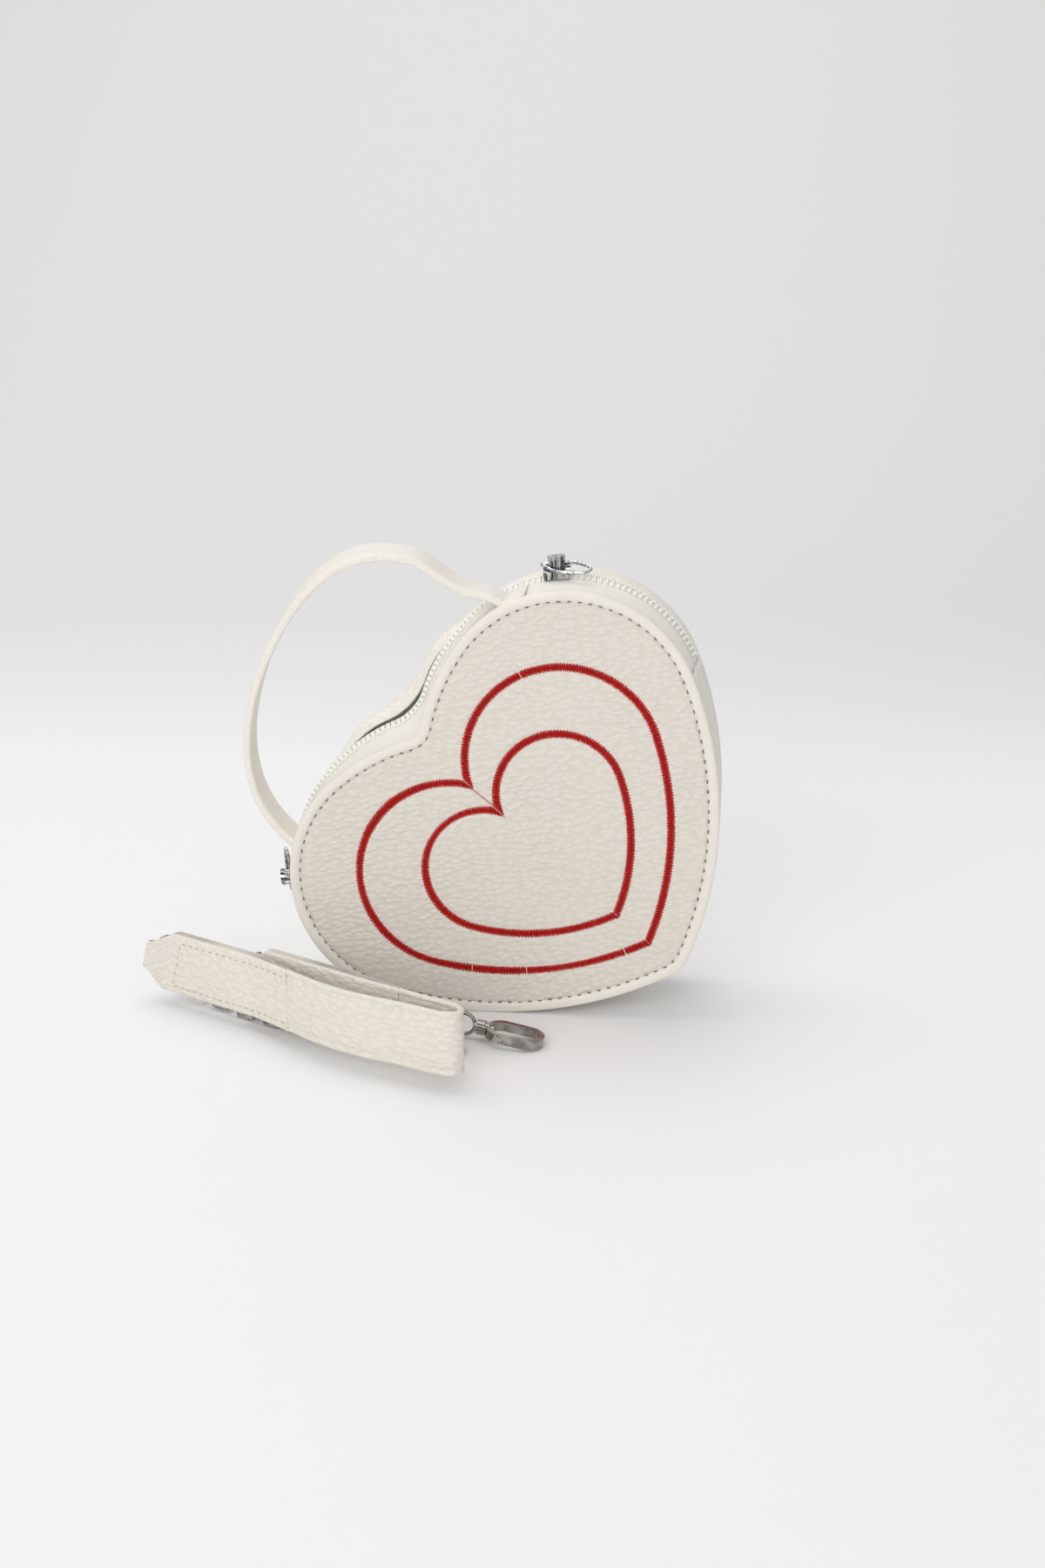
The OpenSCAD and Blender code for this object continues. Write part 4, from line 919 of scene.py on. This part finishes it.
def lining_piece(name, way, seed):
    """A lining inside the bands, a little uneven away from its edge."""
    return plate(name, board_loop, 3,
                 lambda p: 0.12 + 0.12 * ripple(p, 30, seed) * smooth(distance_to(p, board_loop) / 10),
                 way * (LINING_Y + LINING_T), way, LINING_T * 0.8, lining_cloth, seed + 5)


lining_front = lining_piece("lining_front", 1, 8)
lining_back = lining_piece("lining_back", -1, 9)
place_piece(lining_front, "front_half", ["front_lining"])
across_fold(lining_back, ["upper_back_lining", "lower_back_lining"])


# Top handle

def handle_at(a):
    """Place on the handle's loop at an angle in degrees."""
    c, s = np.cos(np.radians(a)), np.sin(np.radians(a))
    dip = HANDLE_DIP * np.sin(np.pi * np.clip(a / DIP_ARC, 0, 1)) ** 2
    return np.stack([-HANDLE_SHIFT + HANDLE_HALF * c + HANDLE_SKEW * np.maximum(0, s) ** 3 - dip,
                     HANDLE_FOOT + HANDLE_RISE * s - dip], -1)


def rounded(width, thick, corner, crown):
    """Section of a flat strap: width and thickness, round corners and slightly crowned faces."""
    wide, high = width / 2 - corner, thick / 2 - corner
    parts = []
    for cx, cy, start in ((1, 1, 0), (-1, 1, 90), (-1, -1, 180), (1, -1, 270)):
        parts.append([cx * wide, cy * high] + polar(corner, np.linspace(start, start + 90, 5)))
        if cx == cy:
            x = cx * np.linspace(0.75, -0.75, 7)
            parts.append(np.stack([x * wide, cy * (thick / 2 + crown * (1 - x * x))], -1))
    return np.vstack(parts)


def handle_piece():
    """The handle's loop over the lobes, sunk a little into both."""
    angles = np.linspace(-8, 188, 160)
    line = handle_at(angles)
    clear = np.minimum(np.linalg.norm(line - lobe_c, axis=1), np.linalg.norm(line + lobe_c, axis=1))
    angles = angles[clear > LOBE_R - 0.6]
    line = handle_at(angles)
    ways = unit(handle_at(angles + 1) - handle_at(angles - 1))
    inwards = left_of(ways)
    thick = np.full(len(line), HANDLE_T)
    # The right foot runs on round the lobe as a thin tongue
    start = line[0] - lobe_c
    turns = heading(start) - np.linspace(TONGUE_L, 1.2, 8) / math.radians(LOBE_R)
    share = np.linspace(0, 1, 8)[:, None]
    over = LOBE_R + 0.5 + share * (np.linalg.norm(start) - LOBE_R - 0.5)
    line = np.vstack([lobe_c + polar(1, turns) * over, line])
    inwards = np.vstack([unit(-polar(1, turns) * (1 - share ** 2) + inwards[0] * share ** 2), inwards])
    thick = np.concatenate([0.5 + (HANDLE_T - 0.5) * smooth(share[:, 0]), thick])
    angles = np.concatenate([np.full(8, angles[0]), angles])
    rings = []
    for p, inward, a, t in zip(line, inwards, angles, thick):
        section = rounded(HANDLE_W, t, t / 3, 0.12)
        # The rear edge rises over the top and swings outwards on the left
        roll = math.radians(np.interp(a, [20, 70, 120, 165], [0, 9, 5, 0]))
        depth = section[:, 0] * math.cos(roll)
        flat = p + inward * (t / 2 + section[:, 1:] - section[:, :1] * math.sin(roll))
        rings.append(at_depth(flat, HANDLE_Y + depth))
    return skin("handle_strap", rings, handle_leather, stir=stirred(0.1, 15, 31, [0.3, 0.6, 0.3]))


BEND_HALF = 5
handle = handle_piece()
Vector(stand(0, HANDLE_Y, HANDLE_BEND - BEND_HALF) * MM)
Vector(stand(0, HANDLE_Y, HANDLE_BEND + BEND_HALF) * MM)
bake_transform(handle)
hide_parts("handle", "handle_foot_right", "handle_foot_left")


# Shoulder strap

heading_cos, heading_sin = math.cos(math.radians(STRAP_HEADING)), math.sin(math.radians(STRAP_HEADING))


def on_floor(p, z):
    """World place of a point of the strap's own plan."""
    p = np.asarray(p, float)
    x = STRAP_X + p[..., 0] * heading_cos - p[..., 1] * heading_sin
    y = -STRAP_Y + p[..., 0] * heading_sin + p[..., 1] * heading_cos
    x, y, z = np.broadcast_arrays(x, y, np.asarray(z, float))
    return np.stack([x, y, z], -1)


def eased(x):
    """How far each run stands off for the round fold."""
    return (FOLD_R - STRAP_GAP / 2) * (1 - smooth((x - FOLD_R) / 24))


def front_run(x):
    bulge = np.maximum(0, np.sin(np.pi * np.minimum(1, np.maximum(0, x) / STRAP_RUN / 0.66))) ** 1.3
    return np.stack([x, STRAP_BULGE * bulge + eased(x)], -1)


def rear_run(x):
    spread = STRAP_SPREAD * np.sin(np.pi / 2 * np.minimum(1, x / STRAP_RUN / 0.5))
    return np.stack([x, -STRAP_GAP - spread - eased(x)], -1)


front_end = STRAP_RUN - TAPER_L - WIRE_D
rear_end = STRAP_BACK - TAPER_L - WIRE_D
strap_line = np.vstack([
    front_run(np.linspace(front_end, FOLD_R, 90)),
    [FOLD_R, -STRAP_GAP / 2] + polar(FOLD_R, np.linspace(105, 255, 21)) * [1.3, 1],
    rear_run(np.linspace(FOLD_R, rear_end, 60))])


def strap_piece():
    """The folded strap, with rolled edges, stitch grooves and a low crown between them."""
    z = np.array([0, 0.12, 0.5, 1.1, 1.7, 2.2, 2.6, 3.1, 4.2, 7, 11, 15])
    half_t = np.array([0.0, 0.55, 1.0, 1.26, 1.16, 0.86, 0.82, 1.0, 1.12, 1.18, 1.2, 1.2])
    z = np.concatenate([z, STRAP_W - z[-2::-1]])
    half_t = np.concatenate([half_t, half_t[-2::-1]])
    section = np.vstack([np.stack([z, half_t], -1), np.stack([z[-2:0:-1], -half_t[-2:0:-1]], -1)])
    left = left_of(unit(np.gradient(strap_line, axis=0)))
    rings = [on_floor(p + n * -section[:, 1:], STRAP_LIFT + section[:, 0]) for p, n in zip(strap_line, left)]
    return skin("strap_leather", rings, strap_leather, stir=stirred(0.09, 19, 41, [0.5, 0.5, 0]))


place_piece(strap_piece(), "shoulder_strap", ["strap_band"])


def leaf_start(band_end):
    return band_end - WRAP_L + TAPER_L - LEAF_L


def skived(x, band_end):
    """Thickness of an end's leaf at a place along the strap."""
    return STRAP_T + LEAF_T + (END_T - STRAP_T - 0.5) * smooth((x - leaf_start(band_end)) / LEAF_L)


def way_of(run, x):
    """Direction of a run at some places along it."""
    return unit(run(x + 0.5) - run(x - 0.5))


def end_piece(name, run, at, band_end, skew, replaces):
    """The leather end: a leaf skived thin where it starts, tapered to the fold that holds the ring."""
    start = leaf_start(band_end)
    xs = np.concatenate([[start, start + 0.15, start + 0.5], np.linspace(start + 2, at, 70),
                         at + END_T / 2 * np.sin(np.linspace(0.2, math.pi / 2, 8))])
    rings = []
    for x in xs:
        taper = np.interp(x, [band_end + 3.5, at], [0, (STRAP_W - END_W) / 2])
        half_w = STRAP_W / 2 - taper
        nose = math.sqrt(max(0.004, 1 - max(0, (x - at) / (END_T / 2)) ** 2))
        flat_share = 1 - 0.16 * smooth((x - band_end) / TAPER_L)
        lip = 0.9 if x == start else 1
        thick = skived(x, band_end) * nose * flat_share * lip
        section = rounded(2 * half_w - (1 - lip), thick, min(1.2, thick * 0.45), 0.1)
        turn = x - section[:, 0] * skew * smooth((x - band_end + 15) / 15)
        flat = run(turn) + left_of(way_of(run, turn)) * section[:, 1:]
        rings.append(on_floor(flat, STRAP_LIFT + STRAP_W / 2 + section[:, 0]))
    obj = skin(name, rings, strap_leather, stir=stirred(0.08, 14, 43, [0.5, 0.5, 0]))
    place_piece(obj, "shoulder_strap", replaces)


end_piece("strap_end_leather_front", front_run, STRAP_RUN + END_OVER, front_end + LAYER_GAP + END_SHIFT, SKEW,
          ["strap_end_front"])
end_piece("strap_end_leather_rear", rear_run, STRAP_BACK, rear_end + LAYER_GAP, 0, ["strap_end_rear"])


def strap_seam(name, line, way, lift, off):
    """Stitches along a stretch of the strap, on one face; off is the face's distance from its middle."""
    left = left_of(unit(np.gradient(line, axis=0))) * way
    flat = line + left * np.reshape(off, (-1, 1))
    world = on_floor(flat, STRAP_LIFT + lift)
    normals = on_floor(flat + left, 0) - on_floor(flat, 0)

    def ups(places):
        near = np.argmin(np.linalg.norm(places[:, None] - world[None], axis=2), 1)
        return unit(normals[near])
    place_piece(stitched(name, world, ups, STRAP_STITCH, strap_thread), "shoulder_strap")


def leaf_off(x, band_end):
    """Distance of an end's face from the strap's middle, with its stitches."""
    return skived(x, band_end) / 2 + 0.05


def seams_of(name, run, way, band_end):
    """Both edge seams of one run, on the bare strap and on its end's leaf."""
    start = leaf_start(band_end)
    bare = np.linspace(FOLD_R + 0.5, start - 1, 60)
    leaf = np.linspace(start + 1.5, band_end - 2, 60)
    for number, lift in enumerate((SEAM_Z, STRAP_W - SEAM_Z)):
        slip = SKEW * (STRAP_W / 2 - lift) * smooth((leaf - band_end + 15) / 15) if way > 0 else 0
        strap_seam(f"seam_{name}_bare_{number}", run(bare), way, lift, SEAM_OFF)
        strap_seam(f"seam_{name}_leaf_{number}", run(leaf + slip), way, lift, leaf_off(leaf, band_end))


seams_of("front_run", front_run, 1, front_end + END_SHIFT)
seams_of("rear_run", rear_run, -1, rear_end)


def cross_seam(name, run, band_end, way, skew):
    """The seam across an end, where its leaf is sewn through the strap."""
    z = np.linspace(SEAM_Z, STRAP_W - SEAM_Z, 20)
    x = band_end - 2 + skew * (STRAP_W / 2 - z)
    left = left_of(way_of(run, x)) * way
    world = on_floor(run(x) + left * leaf_off(band_end - 2, band_end), STRAP_LIFT + z)
    up = on_floor(left[10], 0) - on_floor([0, 0], 0)
    place_piece(stitched(name, world, all_to(up), STRAP_STITCH, strap_thread), "shoulder_strap")


cross_seam("cross_seam_front", front_run, front_end + END_SHIFT, 1, SKEW)
cross_seam("cross_seam_rear", rear_run, rear_end, -1, 0)


# Leather loops on the back

def loop_piece(name, side, replaces):
    """A leather tab sewn to the back, with its upper part rolled round the ring's bar."""
    tunnel = WIRE_D / 2 + 0.06
    y_mid = DEPTH / 2 + tunnel + WRAP_T * 1.05
    outer = tunnel + WRAP_T * 0.98
    roll = [(y_mid + outer * math.sin(a), outer * math.cos(a)) for a in np.radians(np.linspace(0, 180, 13))]
    profile = np.array([
        (DEPTH / 2, LOOP_L), (DEPTH / 2 + WRAP_T * 0.5, LOOP_L + 0.2), (DEPTH / 2 + WRAP_T, LOOP_L - 0.4),
        (DEPTH / 2 + WRAP_T, outer + 1.6), *roll, (DEPTH / 2 + 0.05, -outer * 0.6), (DEPTH / 2 + 0.02, 0)])
    rings = []
    for x, inset in ((0, 0.35), (0.15, 0.12), (0.5, 0), (LOOP_W - 0.5, 0), (LOOP_W - 0.15, 0.12), (LOOP_W, 0.35)):
        q = profile + unit(profile.mean(0) - profile) * inset
        rings.append(stand(side * LOOP_X - LOOP_W / 2 + x, q[:, 0], LOOP_Z + q[:, 1]))
    place_piece(skin(name, rings, strap_leather), "back_half", replaces)


for side, hand in HANDS:
    loop_piece(f"loop_{hand}", side, [f"dee_loop_{hand}"])


# Metal and other pieces that keep their own shape

def refinish(names, material):
    for name in names:
        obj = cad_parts[name]
        obj.data.materials.clear()
        obj.data.materials.append(material)


refinish(["slider_right"], slider_chrome_right)
refinish(["slider_left"], slider_chrome_left)
refinish(["dee_ring_right", "dee_ring_left"], wire_chrome)
refinish([f"{kind}_{end}" for kind in ("strap_ring", "chain", "swivel", "hook", "gate", "gate_pin")
          for end in ("front", "rear")], gunmetal)
refinish(["front_board", "upper_back_board"], board_fibre)
refinish(["inner_pocket"], lining_cloth)


# Bails: places of the wire's bends along the bail and across it, from the barrel's middle
BAIL_BENDS = [
    (-6, 0.8), (-2.6, 4.2), (1, 6.6), (6, 7.9), (11, 8.5), (13.7, 7.6), (14.1, 5.5), (12.4, 3.7), (9, 1.6),
    (6.5, 0.3), (4, 0), (0, 0), (-3.5, 0), (-5.6, 0)]
BAIL_MIDDLE = (4.15, 3.55)
BAIL_R = 0.74


def world_points(node):
    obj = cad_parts[node]
    return np.array([obj.matrix_world @ v.co for v in obj.data.vertices]) / MM


def bail_wire(name, node, slider, body):
    """A pear-shaped wire: one leg runs through the barrel and the other hangs before it."""
    own = world_points(node)
    middle = own.mean(0)
    run, drop, flat = np.linalg.svd(own - middle, full_matrices=False)[2]
    run = run * np.sign(run @ (middle - world_points(slider).mean(0)))
    drop = drop * -np.sign(drop[1])
    bends = np.array(BAIL_BENDS) - BAIL_MIDDLE
    # A smooth curve through the bends
    a, b, c, d = (np.roll(bends, -k, axis=0)[:, None] for k in (-1, 0, 1, 2))
    t = (np.arange(6) / 6)[None, :, None]
    line = 0.5 * (2 * b + (c - a) * t + (2 * a - 5 * b + 4 * c - d) * t ** 2 + (3 * b - a - 3 * c + d) * t ** 3)
    line = line.reshape(-1, 2)
    line = middle + line[:, :1] * run + line[:, 1:] * drop
    ways = unit(np.roll(line, -1, axis=0) - np.roll(line, 1, axis=0))
    place_piece(skin(name, wire(line, ways, flat, BAIL_R, 10), wire_chrome, True), body, [node])


for _, hand in HANDS:
    bail_wire(f"bail_wire_{hand}", f"bail_{hand}", f"slider_{hand}", f"zip_bail_{hand}")


# Floor, backdrop, light and camera

def studio():
    """A seamless sweep: the floor runs back and turns up into the wall."""
    back, radius, height, half = 420.0, 900.0, 2600.0, 5000.0
    bend = [(back + radius * math.sin(a), radius * (1 - math.cos(a))) for a in np.linspace(0.06, math.pi / 2, 24)]
    profile = [(-2600.0, 0.0), (back, 0.0), *bend, (back + radius, height)]
    points = [(x, y, z) for x in (-half, half) for y, z in profile]
    k = len(profile)
    faces = [(j, j + 1, k + j + 1, k + j) for j in range(k - 1)]
    made, tree, shader = finish("backdrop_paper_matt", {"Roughness": 0.9, "Specular IOR Level": 0.1})
    place = add(tree, "ShaderNodeTexCoord").outputs["Object"]
    parts = add(tree, "ShaderNodeSeparateXYZ", None, {0: place})
    # The wall is painted a darker grey than the floor: painted shade, where less light reaches it
    rise = add(tree, "ShaderNodeMapRange", {"interpolation_type": "SMOOTHSTEP", "From Min": 0.28, "From Max": 0.68},
               {"Value": parts.outputs["Y"]})
    colour = add(tree, "ShaderNodeMix", {"data_type": "RGBA", 6: linear("#f1f1f1"), 7: linear("#dfdfdf")},
                 {0: rise})
    tree.links.new(colour.outputs[2], shader.inputs["Base Color"])
    make("studio_sweep", points, faces, made)


def lamp(name, place, aim, size, power):
    light = bpy.data.lights.new(name, "AREA")
    light.shape = "RECTANGLE"
    light.size, light.size_y = size
    light.energy = power
    obj = shown(name, light)
    obj.location = Vector(place) * MM
    obj.rotation_euler = (Vector(aim) * MM - obj.location).to_track_quat("-Z", "Y").to_euler()


def camera():
    aim = np.array([15.3, -25.0, 102.85])
    azimuth, elevation, distance = 6.0, 17.5, 902.0
    a, e = math.radians(azimuth), math.radians(elevation)
    back = np.array([math.sin(a) * math.cos(e), -math.cos(a) * math.cos(e), math.sin(e)])
    data = bpy.data.cameras.new("camera")
    focal_pixels, long_side = 2500, 1800
    data.sensor_width = 36.0
    data.lens = data.sensor_width * focal_pixels / long_side
    data.clip_start, data.clip_end = 0.01, 50.0
    obj = shown("camera", data)
    obj.location = Vector(aim + back * distance) * MM
    obj.rotation_mode = "QUATERNION"
    obj.rotation_quaternion = Vector(-back).to_track_quat("-Z", "Y")
    bpy.context.scene.camera = obj


studio()
lamp("top_softbox", (-300, 350, 1500), (0, 0, 80), (1.6, 1.2), 10.3)
lamp("front_softbox", (-400, -1900, 900), (0, -50, 80), (1.6, 1.4), 18.0)
world = bpy.data.worlds.new("studio_air")
world.use_nodes = True
background = world.node_tree.nodes["Background"]
background.inputs["Color"].default_value = linear("#ffffff")
background.inputs["Strength"].default_value = 0.53
bpy.context.scene.world = world
camera()
bpy.context.scene.view_settings.view_transform = "Standard"
